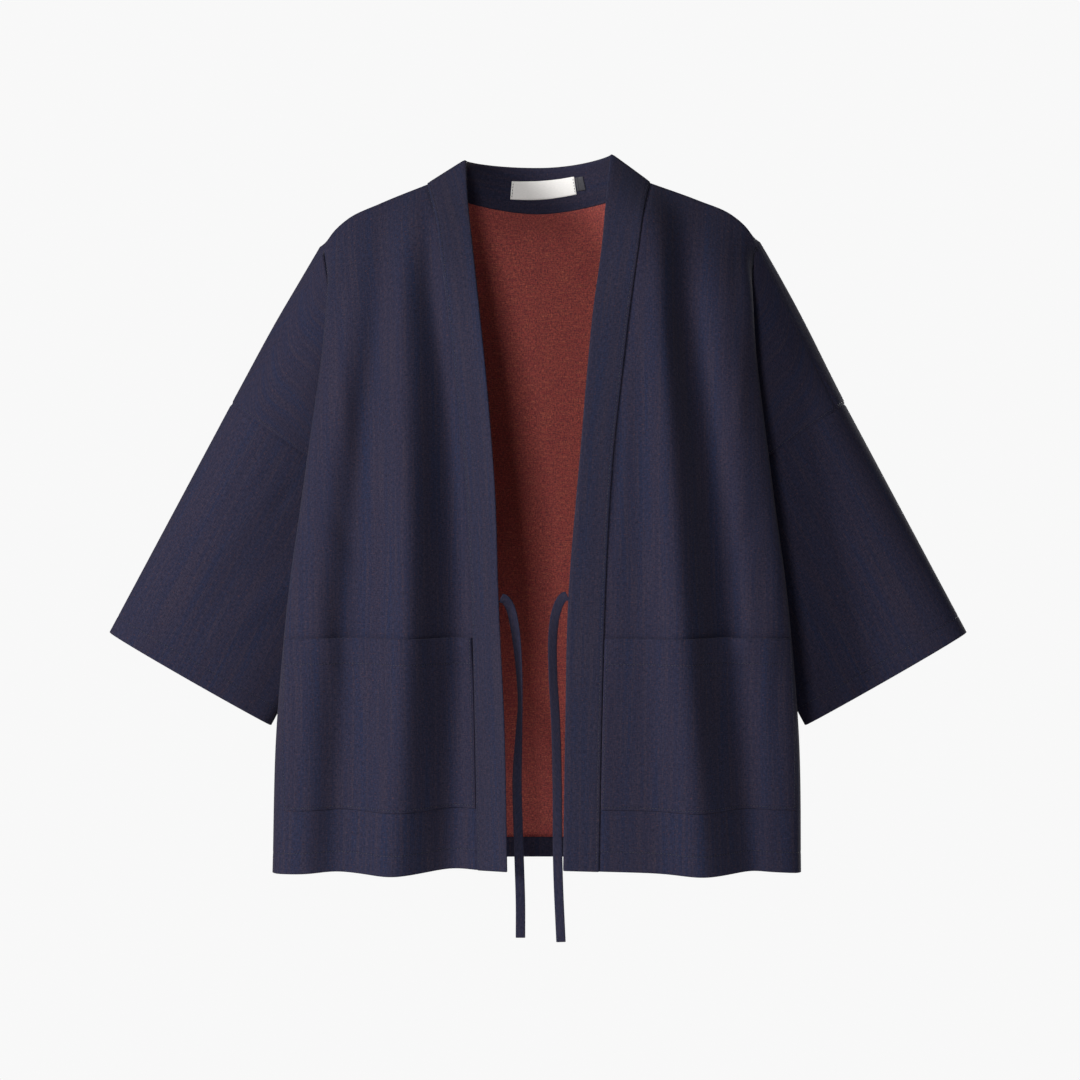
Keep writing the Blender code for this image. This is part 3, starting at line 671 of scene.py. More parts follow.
class NodeTree:
    """A material's nodes, with short calls to add and join them."""

    def __init__(self, name: str) -> None:
        self.material = bpy.data.materials.new(name)
        self.material.use_nodes = True
        self.tree = self.material.node_tree
        self.shader = self.tree.nodes["Principled BSDF"]

    def add(self, kind: str, **values: object) -> bpy.types.Node:
        """Add a node and set its properties and unlinked inputs, underscores standing for spaces."""
        node = self.tree.nodes.new(kind)
        for key, value in values.items():
            if hasattr(node, key):
                setattr(node, key, value)
            else:
                node.inputs[key.replace("_", " ")].default_value = value
        return node

    def join(self, start: bpy.types.NodeSocket, end: bpy.types.NodeSocket) -> None:
        """Link two sockets."""
        self.tree.links.new(start, end)

    def weave_place(self, across: float, along: float) -> bpy.types.NodeSocket:
        """Place in the weave, scaled by repeats for each metre across and along."""
        uv = self.add("ShaderNodeUVMap", uv_map="weave")
        scale = self.add("ShaderNodeMapping")
        scale.inputs["Scale"].default_value = (across, along, 1)
        self.join(uv.outputs["UV"], scale.inputs["Vector"])
        return scale.outputs["Vector"]

    def noise(self, across: float, along: float, detail: float = 2, rough: float = 0.5
              ) -> bpy.types.NodeSocket:
        """Noise in the weave, with one blotch for each repeat."""
        node = self.add("ShaderNodeTexNoise", Scale=1.0, Detail=detail, Roughness=rough)
        self.join(self.weave_place(across, along), node.inputs["Vector"])
        return node.outputs["Fac"]

    def ramp(self, value: bpy.types.NodeSocket, low: float, high: float) -> bpy.types.NodeSocket:
        """Value stretched from low..high to 0..1, held at the ends."""
        node = self.add("ShaderNodeMapRange", clamp=True)
        node.inputs["From Min"].default_value = low
        node.inputs["From Max"].default_value = high
        self.join(value, node.inputs["Value"])
        return node.outputs["Result"]

    def maths(self, operation: str, a: bpy.types.NodeSocket, b: bpy.types.NodeSocket | float
              ) -> bpy.types.NodeSocket:
        """One Math node on a socket and a socket or number."""
        node = self.add("ShaderNodeMath", operation=operation)
        self.join(a, node.inputs[0])
        if isinstance(b, (int, float)):
            node.inputs[1].default_value = b
        else:
            self.join(b, node.inputs[1])
        return node.outputs[0]

    def mix(self, share: bpy.types.NodeSocket, a: bpy.types.NodeSocket | Colour,
            b: bpy.types.NodeSocket | Colour) -> bpy.types.NodeSocket:
        """Mix of two colours or sockets by a share."""
        node = self.add("ShaderNodeMix", data_type="RGBA")
        self.join(share, node.inputs[0])
        for colour, socket in ((a, node.inputs[6]), (b, node.inputs[7])):
            if isinstance(colour, tuple):
                socket.default_value = (*colour, 1)
            else:
                self.join(colour, socket)
        return node.outputs[2]

    def bump(self, height: bpy.types.NodeSocket, distance: float, strength: float) -> None:
        """Bump the surface by a height, distance in metres."""
        node = self.add("ShaderNodeBump", Strength=strength, Distance=distance)
        self.join(height, node.inputs["Height"])
        self.join(node.outputs["Normal"], self.shader.inputs["Normal"])


@dataclass(frozen=True)
class WovenCloth:
    """A slubby double-faced cloth: the face's own yarn, with flecks of the other face's yarn.

    Attributes:
        name: material name.
        yarn: colour of the face's yarn.
        gap: the yarn's painted shade down in the weave's gaps, where the threads' bump is low.
        slub: colour of its thicker, paler yarns.
        tint: colour of the wide soft streaks.
        fleck: colour of the other face's yarn.
        fleck_share: how much of the face the flecks take.
        contrast: strength of the fine weave's painted shade in the colour.
        fleck_repeats: repeats of the flecks for each metre, across and along.
        slub_repeats: repeats of the slubs, the same way.
        tint_repeats: repeats of the streaks, the same way.
    """

    name: str
    yarn: Colour
    gap: Colour
    slub: Colour
    tint: Colour
    fleck: Colour
    fleck_share: float
    contrast: float = 1.0
    fleck_repeats: tuple[float, float] = (420, 620)
    slub_repeats: tuple[float, float] = (280, 8)
    tint_repeats: tuple[float, float] = (62, 2.5)
    roughness: float = 0.88
    sheen: float = 0.03

    def material(self) -> bpy.types.Material:
        """Nodes of the cloth.

        Fine noise drawn out along the warp and along the weft gives the threads, wide noise the slubs,
        and the top of a third noise the flecks.

        Returns:
            The material.
        """
        nodes = NodeTree(self.name)
        warp = nodes.noise(820, 230, 2.5, 0.6)
        weft = nodes.noise(260, 900, 2.5, 0.6)
        threads = nodes.maths("ADD", nodes.maths("MULTIPLY", warp, 0.55),
                              nodes.maths("MULTIPLY", weft, 0.45))
        half = 0.16 / self.contrast
        depth = nodes.ramp(threads, 0.5 - half, 0.5 + half)
        slubs = nodes.ramp(nodes.noise(*self.slub_repeats, 2, 0.55), 0.44, 0.7)
        streaks = nodes.ramp(nodes.noise(*self.tint_repeats, 2, 0.5), 0.4, 0.66)
        yarn = nodes.mix(slubs, nodes.mix(streaks, self.yarn, self.tint), self.slub)
        # Painted shade: the yarn darkens to the gap colour where the threads' bump is low.
        colour = nodes.mix(depth, self.gap, yarn)
        flecks = nodes.noise(*self.fleck_repeats, 3, 0.65)
        top = 0.66 - 0.3 * self.fleck_share
        colour = nodes.mix(nodes.ramp(flecks, top - 0.06, top + 0.14), colour, self.fleck)
        nodes.join(colour, nodes.shader.inputs["Base Color"])
        nodes.shader.inputs["Roughness"].default_value = self.roughness
        nodes.shader.inputs["Specular IOR Level"].default_value = 0.1
        nodes.shader.inputs["Sheen Weight"].default_value = self.sheen
        nodes.shader.inputs["Sheen Roughness"].default_value = 0.5
        nodes.bump(threads, 0.0006, 0.5)
        return nodes.material


@dataclass(frozen=True)
class WovenTape:
    """Smooth woven tape for labels: one colour with a fine rib."""

    name: str
    colour: Colour
    shade: Colour

    def material(self) -> bpy.types.Material:
        """Nodes of the tape: thin ribs across, softly uneven, with painted shade in the ribs' hollows."""
        nodes = NodeTree(self.name)
        rib = nodes.noise(300, 2200, 2, 0.5)
        nodes.join(nodes.mix(nodes.ramp(rib, 0.35, 0.65), self.shade, self.colour),
                   nodes.shader.inputs["Base Color"])
        nodes.shader.inputs["Roughness"].default_value = 0.6
        nodes.shader.inputs["Specular IOR Level"].default_value = 0.3
        nodes.bump(rib, 0.0003, 0.4)
        return nodes.material


@dataclass(frozen=True)
class SewingThread:
    """Sewing thread with a slight gloss."""

    name: str
    colour: Colour

    def material(self) -> bpy.types.Material:
        """Nodes of the thread: one colour, a little uneven along its length."""
        nodes = NodeTree(self.name)
        place = nodes.add("ShaderNodeTexCoord")
        noise = nodes.add("ShaderNodeTexNoise", Scale=900.0, Detail=1.0)
        nodes.join(place.outputs["Object"], noise.inputs["Vector"])
        dark = tuple(0.7 * part for part in self.colour)
        nodes.join(nodes.mix(noise.outputs["Fac"], dark, self.colour), nodes.shader.inputs["Base Color"])
        nodes.shader.inputs["Roughness"].default_value = 0.5
        return nodes.material


# In each cloth the second colour is the yarn's painted shade down in the weave's gaps.
NAVY_FACE = WovenCloth("navy_face", (0.0275, 0.0255, 0.0500), (0.0100, 0.0110, 0.0260),
                       (0.0400, 0.0330, 0.0540), (0.0195, 0.0255, 0.0610), (0.070, 0.034, 0.038), 0.1)
RUST_FACE = WovenCloth("rust_face", (0.54, 0.105, 0.085), (0.20, 0.046, 0.048), (0.66, 0.175, 0.105),
                       (0.46, 0.085, 0.076), (0.10, 0.042, 0.055), 0.42, 1.2,
                       (520, 900), (55, 800), (40, 22))
BAND_FACE = WovenCloth("navy_band_face", (0.0275, 0.0260, 0.0500), (0.0105, 0.0115, 0.0260),
                       (0.0395, 0.0330, 0.0540), (0.0200, 0.0260, 0.0610), (0.066, 0.033, 0.038), 0.09)
# Each tape's second colour is painted shade in its ribs' hollows.
WHITE_TAPE = WovenTape("white_tape", (0.93, 0.92, 0.90), (0.86, 0.85, 0.83))
CHARCOAL_TAPE = WovenTape("charcoal_tape", (0.055, 0.055, 0.066), (0.035, 0.035, 0.043))
NAVY_THREAD = SewingThread("navy_thread", (0.012, 0.013, 0.026))


@dataclass
class Finishes:
    """The materials, each made once."""

    navy: bpy.types.Material = field(default_factory=NAVY_FACE.material)
    rust: bpy.types.Material = field(default_factory=RUST_FACE.material)
    band: bpy.types.Material = field(default_factory=BAND_FACE.material)
    white: bpy.types.Material = field(default_factory=WHITE_TAPE.material)
    charcoal: bpy.types.Material = field(default_factory=CHARCOAL_TAPE.material)
    thread: bpy.types.Material = field(default_factory=NAVY_THREAD.material)


POCKET_REACH = {Side.RIGHT: (0.975, 0.6), Side.LEFT: (0.95, 0.85)}


@dataclass
class Drape:
    """The jacket's drape: section lines, folds and creases of fronts, back and sleeves, in mm."""

    front_steps: list[Array] = field(default_factory=lambda: [
        shares(26, at_start=True), shares(20), shares(9), shares(11), shares(12, at_end=True)])
    neck_steps: list[Array] = field(default_factory=lambda: [shares(20), shares(11)])
    arm_steps: list[Array] = field(default_factory=lambda: [shares(13), shares(13, at_end=True)])

    @staticmethod
    def lines(sections: tuple) -> Array:
        """Lines of a panel at every level. The side line has a corner at the underarm."""
        knots = [row[0] for row in sections]
        lines = curve_through(knots, [row[1:] for row in sections], LEVELS)
        lines[:, -1] = curve_to_corner(knots, [row[-1] for row in sections], LEVELS, UNDERARM_T)
        return lines

    @staticmethod
    def folded(points: Array, folds: tuple[Fold, ...], creases: tuple[Crease, ...], sign: int,
               both_ends: bool) -> Array:
        """A grid with folds and creases in: moved along its normals, and down at the hem's ridges.

        Args:
            points: grid in mm.
            folds: long folds.
            creases: short creases.
            sign: 1 if the grid's normals face out, else -1.
            both_ends: whether the first column is a side seam too.

        Returns:
            The moved grid. It stays as it is next to the side column, and the depth fades in from there.
        """
        depth = sum(fold.depth_at(points, LEVELS) for fold in folds)
        depth = depth + sum(crease.depth_at(points) for crease in creases)
        reach = arcs(points, 1)
        near = np.minimum(reach, reach[:, -1:] - reach) if both_ends else reach[:, -1:] - reach
        depth = (depth * np.clip((near - SIDE_PLAIN) / SIDE_FADE, 0, 1))[:, :, None]
        moved = points + grid_normals(points) * depth * sign
        moved[:, :, 2:] -= depth * HEM_SWAY * LEVELS[:, None, None] ** 3
        return moved

    def arm(self, body: Array, forward: bool) -> Array:
        """Grid of a panel's part on the arm, from the valley at the body to the armhole.

        Args:
            body: the body's grid on the left side.
            forward: whether it is the front.

        Returns:
            Grid of points, its last row all at the underarm.
        """
        t = LEVELS[:UNDERARM_ROW + 1]
        middle = curve_through([row[0] for row in ARM_SECTIONS],
                               [row[1 if forward else 2] for row in ARM_SECTIONS], t)
        armhole = ARMHOLE.at(armhole_angles(t, forward))
        lines = np.stack([body[:UNDERARM_ROW + 1, -1], middle, armhole], axis=1)
        lines[-1] = armhole[-1]
        grid = rows_through(lines[:-1], self.arm_steps)
        last = np.repeat(armhole[-1][None, None], grid.shape[1], axis=1)
        return np.concatenate([grid, last])

    def front(self, side: Side) -> tuple[Array, Array]:
        """Body and arm grids of a front, on its own side."""
        body = rows_through(self.lines(FRONT_SECTIONS), self.front_steps)
        body = self.folded(body, FRONT_FOLDS[side], FRONT_CREASES[side], 1, False)
        arm = self.arm(body, True)
        grids = (body, arm) if side is Side.LEFT else (mirrored(body), mirrored(arm))
        return tuple(shouldered(grid) for grid in grids)

    def back(self) -> tuple[Array, Array, Array]:
        """Body grid of the whole back and its left and right arm grids.

        The top row is the fronts' shoulder seam and the neckline, and what that moves fades out below.
        """
        half = self.neck_steps + self.front_steps
        half = half[:2] + [shares(26)] + half[3:]
        whole = [np.unique(1 - step[step > 0]) if step[0] == 0 else step for step in half[::-1]]
        whole = [np.concatenate([[0], step]) if step[0] > 0 else step for step in whole]
        lines = self.lines(BACK_SECTIONS)
        lines = np.concatenate([mirrored(lines)[:, :0:-1], lines], axis=1)
        body = rows_through(lines, whole + half)
        shoulder = rows_through(self.lines(FRONT_SECTIONS)[:1], half[2:])
        neck = np.array([[BACK_SECTIONS[0][k] for k in (1, 2, 3)]], float)
        neck = np.concatenate([mirrored(neck)[:, :0:-1], neck], axis=1)
        neckline = rows_through(neck, whole[-2:] + half[:2])
        top = np.concatenate([mirrored(shoulder)[:, :0:-1], neckline, shoulder[:, 1:]], axis=1)
        body = body + (top - body[:1]) * np.clip(1 - LEVELS / 0.045, 0, 1)[:, None, None]
        body = self.folded(body, BACK_FOLDS, BACK_CREASES, -1, True)
        arm = self.arm(body[:, body.shape[1] // 2:], False)
        return tuple(shouldered(grid) for grid in (body, arm, mirrored(arm)[:, ::-1]))

    @staticmethod
    def sleeve(side: Side) -> Array:
        """Tube from the armhole to the cuff on one side, rows down the sleeve, columns round it."""
        t = LEVELS[:UNDERARM_ROW + 1]
        angles = np.concatenate([armhole_angles(t, True), armhole_angles(t, False)[-2::-1] + 2 * math.pi])
        share = np.unique(np.concatenate([
            [0, 0.002, 0.005, 0.01], np.linspace(0.016, CUFF_HEM_T - 0.012, 62),
            [CUFF_HEM_T - 0.005, CUFF_HEM_T, CUFF_HEM_T + 0.005],
            np.linspace(CUFF_HEM_T + 0.014, 0.99, 5), [0.996, 1]]))
        share = share[:, None, None]
        grid = ARMHOLE.at(angles)[None] * (1 - share) + CUFF.at(angles)[None] * share
        depth = sum(crease.depth_at(grid) for crease in SLEEVE_CREASES)
        ends = np.minimum(share[:, :, 0] / 0.05, 1)
        facing = np.sin(angles)[None]
        grid[:, :, 1] -= depth * ends * facing
        return grid if side is Side.LEFT else mirrored(grid)

    @staticmethod
    def band_edge(side: Side) -> Array:
        """Free edge of the band down one front, a point for each level."""
        column = 2 if side is Side.LEFT else 1
        line = curve_through([row[0] for row in BAND_EDGES], [row[column] for row in BAND_EDGES], LEVELS)
        return line if side is Side.LEFT else mirrored(line)

    @staticmethod
    def collar_edge(count: int) -> Array:
        """Free edge of the band behind the neck: half an oval from the right peak to the left one."""
        turn = np.linspace(-math.pi / 2, math.pi / 2, count)
        reach, _, left_z = BAND_EDGES[0][2]
        peak = np.where(turn > 0, left_z, BAND_EDGES[0][1][2])
        rise = COLLAR_BACK[1] + (peak - COLLAR_BACK[1]) * np.sin(turn) ** 2
        return np.stack([reach * np.sin(turn), COLLAR_BACK[0] * np.cos(turn), rise], axis=1)


@dataclass
class FrontPanel:
    """A front with its dropped shoulder."""

    side: Side
    drape: Drape
    finishes: Finishes
    flat: tuple[float, float] = (0.370, 0.790)
    area: float = 0.21
    band_roll: tuple[float, float] = (1.4, 2.4)
    shell: ClothShell = field(init=False)

    def build(self) -> bpy.types.Object:
        """Make the front: body and arm patches, rolled in at the seams, with a turned-up hem."""
        body, arm = self.drape.front(self.side)
        reach, fall = arcs(body, 1), arcs(body, 0)
        to_side = np.where(LEVELS[:, None] >= UNDERARM_T, reach[:, -1:] - reach, FAR_OFF)
        sink = np.maximum(seam_sink(np.minimum(to_side, fall)), seam_sink(reach, *self.band_roll))
        groove, backing = BODY_HEM.faces(fall[-1:] - fall)
        sink = np.maximum(sink, groove)
        along = LEVELS[:, None] * PANEL_LENGTH
        across = np.abs(body[:, :1, 0]) + reach
        arm_reach = arcs(arm, 1)
        arm_sink = seam_sink(np.minimum(arm_reach[:, -1:] - arm_reach, arcs(arm, 0)))
        rows = slice(0, UNDERARM_ROW + 1)
        patches = [
            Patch(body, across, along, sink, backing, LEVELS[:, None] >= HEM_T),
            Patch(arm, across[rows, -1:] + arm_reach, along[rows], arm_sink)]
        self.shell = ClothShell(f"front_{self.side.word}", PANEL_WALL, patches, self.side is Side.LEFT,
                                (self.finishes.navy, self.finishes.rust), "navy_cloth")
        piece = self.shell.build()
        return piece


@dataclass
class BackPanel:
    """The back with both back shoulders, in one piece."""

    drape: Drape
    finishes: Finishes
    flat: tuple[float, float] = (0.840, 0.790)
    area: float = 0.52
    shell: ClothShell = field(init=False)

    def build(self) -> bpy.types.Object:
        """Make the back: body and two arm patches, rolled in at the seams, with a turned-up hem."""
        body, left_arm, right_arm = self.drape.back()
        reach, fall = arcs(body, 1), arcs(body, 0)
        to_side = np.where(LEVELS[:, None] >= UNDERARM_T, np.minimum(reach, reach[:, -1:] - reach), FAR_OFF)
        groove, backing = BODY_HEM.faces(fall[-1:] - fall)
        sink = np.maximum(seam_sink(np.minimum(to_side, fall)), groove)
        along = LEVELS[:, None] * PANEL_LENGTH
        across = reach - reach[:, reach.shape[1] // 2, None]
        rows = slice(0, UNDERARM_ROW + 1)
        patches = [Patch(body, across, along, sink, backing, LEVELS[:, None] >= HEM_T)]
        for arm, start, sign in ((left_arm, across[rows, -1:], 1), (right_arm, across[rows, :1], -1)):
            length = arcs(arm, 1)
            length = length if sign > 0 else length[:, -1:] - length
            arm_sink = seam_sink(np.minimum(length.max(axis=1, keepdims=True) - length, arcs(arm, 0)))
            patches.append(Patch(arm, start + sign * length, along[rows], arm_sink))
        self.shell = ClothShell("back_panel", PANEL_WALL, patches, False,
                                (self.finishes.navy, self.finishes.rust), "navy_cloth")
        piece = self.shell.build()
        return piece


@dataclass
class Sleeve:
    """A straight wide sleeve with its hem turned up inside the cuff."""

    side: Side
    drape: Drape
    finishes: Finishes
    flat: tuple[float, float] = (0.400, 0.310)
    shell: ClothShell = field(init=False)

    def build(self) -> bpy.types.Object:
        """Make the sleeve: one tube, rolled in at the armhole, with the cuff's hem inside."""
        grid = self.drape.sleeve(self.side)
        down = arcs(grid, 0)
        length = down.max(axis=0)[None]
        groove, backing = CUFF_HEM.faces(length - down)
        sink = np.maximum(seam_sink(down), groove)
        patch = Patch(grid, arcs(grid, 1), down, sink, backing, down / length >= CUFF_HEM_T)
        self.shell = ClothShell(f"sleeve_{self.side.word}", PANEL_WALL, [patch], self.side is Side.RIGHT,
                                (self.finishes.navy, self.finishes.rust), "navy_cloth")
        piece = self.shell.build()
        return piece


@dataclass
class CollarBand:
    """The one long doubled band: up the right front, round the neck and down the left front."""

    drape: Drape
    finishes: Finishes
    flat: tuple[float, float] = (0.040, 1.74)
    shell: ClothShell = field(init=False)
    line: Array = field(init=False)

    def build(self, right: Array, left: Array, back: Array) -> bpy.types.Object:
        """Make the band between the seam that the panels give and its own free edge.

        Args:
            right: body grid of the right front.
            left: body grid of the left front.
            back: body grid of the back.

        Returns:
            The band.
        """
        middle = back.shape[1] // 2
        neck = int(np.argmin(np.abs(back[0, middle:, 0] - 115.5 - 1.2)))
        round_neck = back[0, middle - neck:middle + neck + 1]
        seam = np.concatenate([right[:0:-1, 0], round_neck, left[1:, 0]])
        edge = np.concatenate([self.drape.band_edge(Side.RIGHT)[:0:-1],
                               shouldered(self.drape.collar_edge(2 * neck + 1)),
                               self.drape.band_edge(Side.LEFT)[1:]])
        share = np.array([0, 0.02, 0.04, 0.062, 0.085, 0.12, 0.2, 0.3, 0.4, 0.5, 0.6, 0.7, 0.8, 0.88, 0.94,
                          0.98, 1])
        grid = seam[:, None] * (1 - share[None, :, None]) + edge[:, None] * share[None, :, None]
        width = arcs(grid, 1)
        sink = np.maximum(seam_sink(width, 0.5, 0.9), stitch_groove(width, BAND_STITCH, 0.3, 0.8))
        sink = np.maximum(sink, seam_sink(width[:, -1:] - width, 0.5, 1.6))
        run = arcs(grid, 0)[:, :1]
        backing = -seam_sink(width[:, -1:] - width, 0.5, 1.6)
        self.shell = ClothShell("collar_band", BAND_WALL, [Patch(grid, width, run, sink, backing)], False,
                                (self.finishes.band, self.finishes.band), "navy_band", 0.3)
        piece = self.shell.build()
        return piece


@dataclass
class PatchPocket:
    """A patch pocket laid on a front, with a stitched top hem and a mouth that stands off a little."""

    front: FrontPanel
    drape: Drape
    finishes: Finishes
    reach: tuple[float, float]
    flat: tuple[float, float] = (0.205, 0.180)
    hem: float = 26.0
    shell: ClothShell = field(init=False)

    def build(self) -> bpy.types.Object:
        """Make the pocket from places on the front's outer face.

        The mouth stands off by a bell from the top edge, and the cloth bridges the front's hollows by a
        share of their depth that fades down the pocket.

        Returns:
            The pocket.
        """
        side = self.front.side
        body = self.front.shell.patches[0].points
        counts = [len(step) for step in self.drape.front_steps]
        down = np.interp([POCKET_TOP_T, POCKET_FOOT_T], LEVELS, np.arange(len(LEVELS)))
        share = np.unique(np.concatenate([np.linspace(0, 1, 50), [0.004, 0.01, 0.99, 0.996]]))[:, None]
        over = np.unique(np.concatenate([np.linspace(0, 1, 62), [0.004, 0.01, 0.99, 0.996]]))[None]
        turn, crest = sum(counts[:2]), sum(counts[:3])
        last = turn + (crest - turn) * (self.reach[0] + (self.reach[1] - self.reach[0]) * share)
        start = float(np.interp(1.2, arcs(body, 1)[len(body) // 2], np.arange(body.shape[1])))
        rows = np.broadcast_to(down[0] + (down[1] - down[0]) * share, (share.size, over.size))
        columns = start + (last - start) * over
        points, normals = self.front.shell.surface(0, rows, columns, 0.25 + POCKET_WALL / 2)
        t = np.interp(rows[:, 0], np.arange(len(LEVELS)), LEVELS)
        hollow = -sum(fold.depth_at(points, t) for fold in FRONT_FOLDS[side])
        held = np.sin(np.pi * over) ** 0.5
        stand = (1.9 + 0.2 * np.maximum(hollow, 0)) * np.exp(-(share / 0.16) ** 1.5) * held
        stand = stand + 0.08 * np.maximum(hollow, 0) * held * (1 - share) * smooth_step(share / 0.1)
        points = points + normals * stand[..., None]
        across, along = arcs(points, 1), arcs(points, 0)
        ends = np.minimum(np.minimum(across, across[:, -1:] - across), along[-1:] - along)
        sink = np.maximum(seam_sink(ends, 0.5, 1.2), stitch_groove(ends, EDGE_STITCH, 0.22, 0.9))
        sink = np.maximum(sink, stitch_groove(along, self.hem, 0.3, 1.2))
        sink = sink - 0.45 * smooth_step((self.hem + 0.5 - along) / 2.5) * smooth_step(ends / 2)
        ripple = 0.22 * np.sin(along * 2 * math.pi / 11.0) * np.exp(-(ends / 9) ** 2) * smooth_step(ends / 2)
        self.shell = ClothShell(f"pocket_{side.word}", POCKET_WALL,
                                [Patch(points, across, along, sink - ripple)], side is Side.LEFT,
                                (self.finishes.navy, self.finishes.rust), "navy_cloth", 0.3)
        piece = self.shell.build()
        return piece


@dataclass
class Tie:
    """A narrow flat tie sewn in the band's edge, hanging free."""

    side: Side
    finishes: Finishes
    flat: tuple[float, float]

    def build(self) -> bpy.types.Object:
        """Make the tie: its middle line widened both ways, turned about the line by the twist."""
        rows = np.array(TIE_LINES[self.side], float)
        knots, at = np.linspace(0, 1, len(rows)), np.linspace(0, 1, 181)
        line = curve_through(knots, rows[:, :3], at)
        twist = np.radians(curve_through(knots, rows[:, 3], at))[:, None]
        run = np.gradient(line, axis=0)
        run /= np.linalg.norm(run, axis=1, keepdims=True)
        across = np.cross(run, np.array([0, -1.0, 0]))
        across /= np.linalg.norm(across, axis=1, keepdims=True)
        turned = across * np.cos(twist) + np.cross(run, across) * np.sin(twist)
        share = np.array([-0.5, -0.46, -0.4, -0.2, 0, 0.2, 0.4, 0.46, 0.5])
        grid = line[:, None] + turned[:, None] * share[None, :, None] * (TIE_WIDTH - 0.5)
        width = arcs(grid, 1)
        ends = np.minimum(width, width[:, -1:] - width)
        sink = np.maximum(seam_sink(ends, 0.2, 0.6), stitch_groove(ends, 1.6, 0.12, 0.5))
        shell = ClothShell(f"tie_{self.side.word}", TIE_WALL, [Patch(grid, width, arcs(grid, 0), sink)],
                           False, (self.finishes.band, self.finishes.band), "navy_band")
        piece = shell.build()
        return piece


@dataclass
class InsideLabel:
    """A blank woven piece sewn flat on the inner face of the collar.

    Attributes:
        name: node that it stands for.
        span: where it starts and ends along X, in mm.
        depths: where it starts and ends down from the collar's free edge, left and right, in mm.
        finish: its material.
        slot: the record's material slot.
        flat: cut size in metres; not used.
    """

    name: str
    span: tuple[float, float]
    depths: tuple[tuple[float, float], tuple[float, float]]
    finish: bpy.types.Material
    slot: str
    flat: tuple[float, float]
    shell: ClothShell = field(init=False)

    def build(self, band: ClothShell) -> bpy.types.Object:
        """Make the label from places on the band's inner face, puffed a little between its ends."""
        grid = band.index[0]
        edge = band.points[grid[:, -1]]
        behind = np.flatnonzero(edge[:, 1] > COLLAR_BACK[0] / 3)
        over = np.unique(np.concatenate([np.linspace(0, 1, 41), [0.02, 0.04, 0.06, 0.94, 0.97]]))
        place = self.span[0] + (self.span[1] - self.span[0]) * over
        rows = np.interp(place, edge[behind, 0], behind)[None]
        down = np.linspace(0, 1, 15)[:, None]
        top = self.depths[0][0] + (self.depths[1][0] - self.depths[0][0]) * over
        foot = self.depths[0][1] + (self.depths[1][1] - self.depths[0][1]) * over
        depth = top + (foot - top) * down
        width = arcs(band.patches[0].points, 1)
        middle = int(behind[len(behind) // 2])
        columns = np.interp(width[middle, -1] - depth, width[middle], np.arange(width.shape[1]))
        rows = np.broadcast_to(rows, columns.shape)
        normals = blended(band.normals[grid], rows, columns)
        points = blended(band.points[grid], rows, columns)
        puff = 0.5 * np.sin(np.pi * over) ** 0.6 * np.sin(np.pi * down) ** 0.6
        points = points - normals * (BAND_WALL / 2 + 0.35 + LABEL_WALL / 2 + puff)[..., None]
        across, along = arcs(points, 1), arcs(points, 0)
        fold = stitch_groove(across, EDGE_STITCH, 0.5, 0.5)
        self.shell = ClothShell(self.name, LABEL_WALL, [Patch(points, across, along, fold)], True,
                                (self.finish, self.finish), self.slot)
        piece = self.shell.build()
        return piece


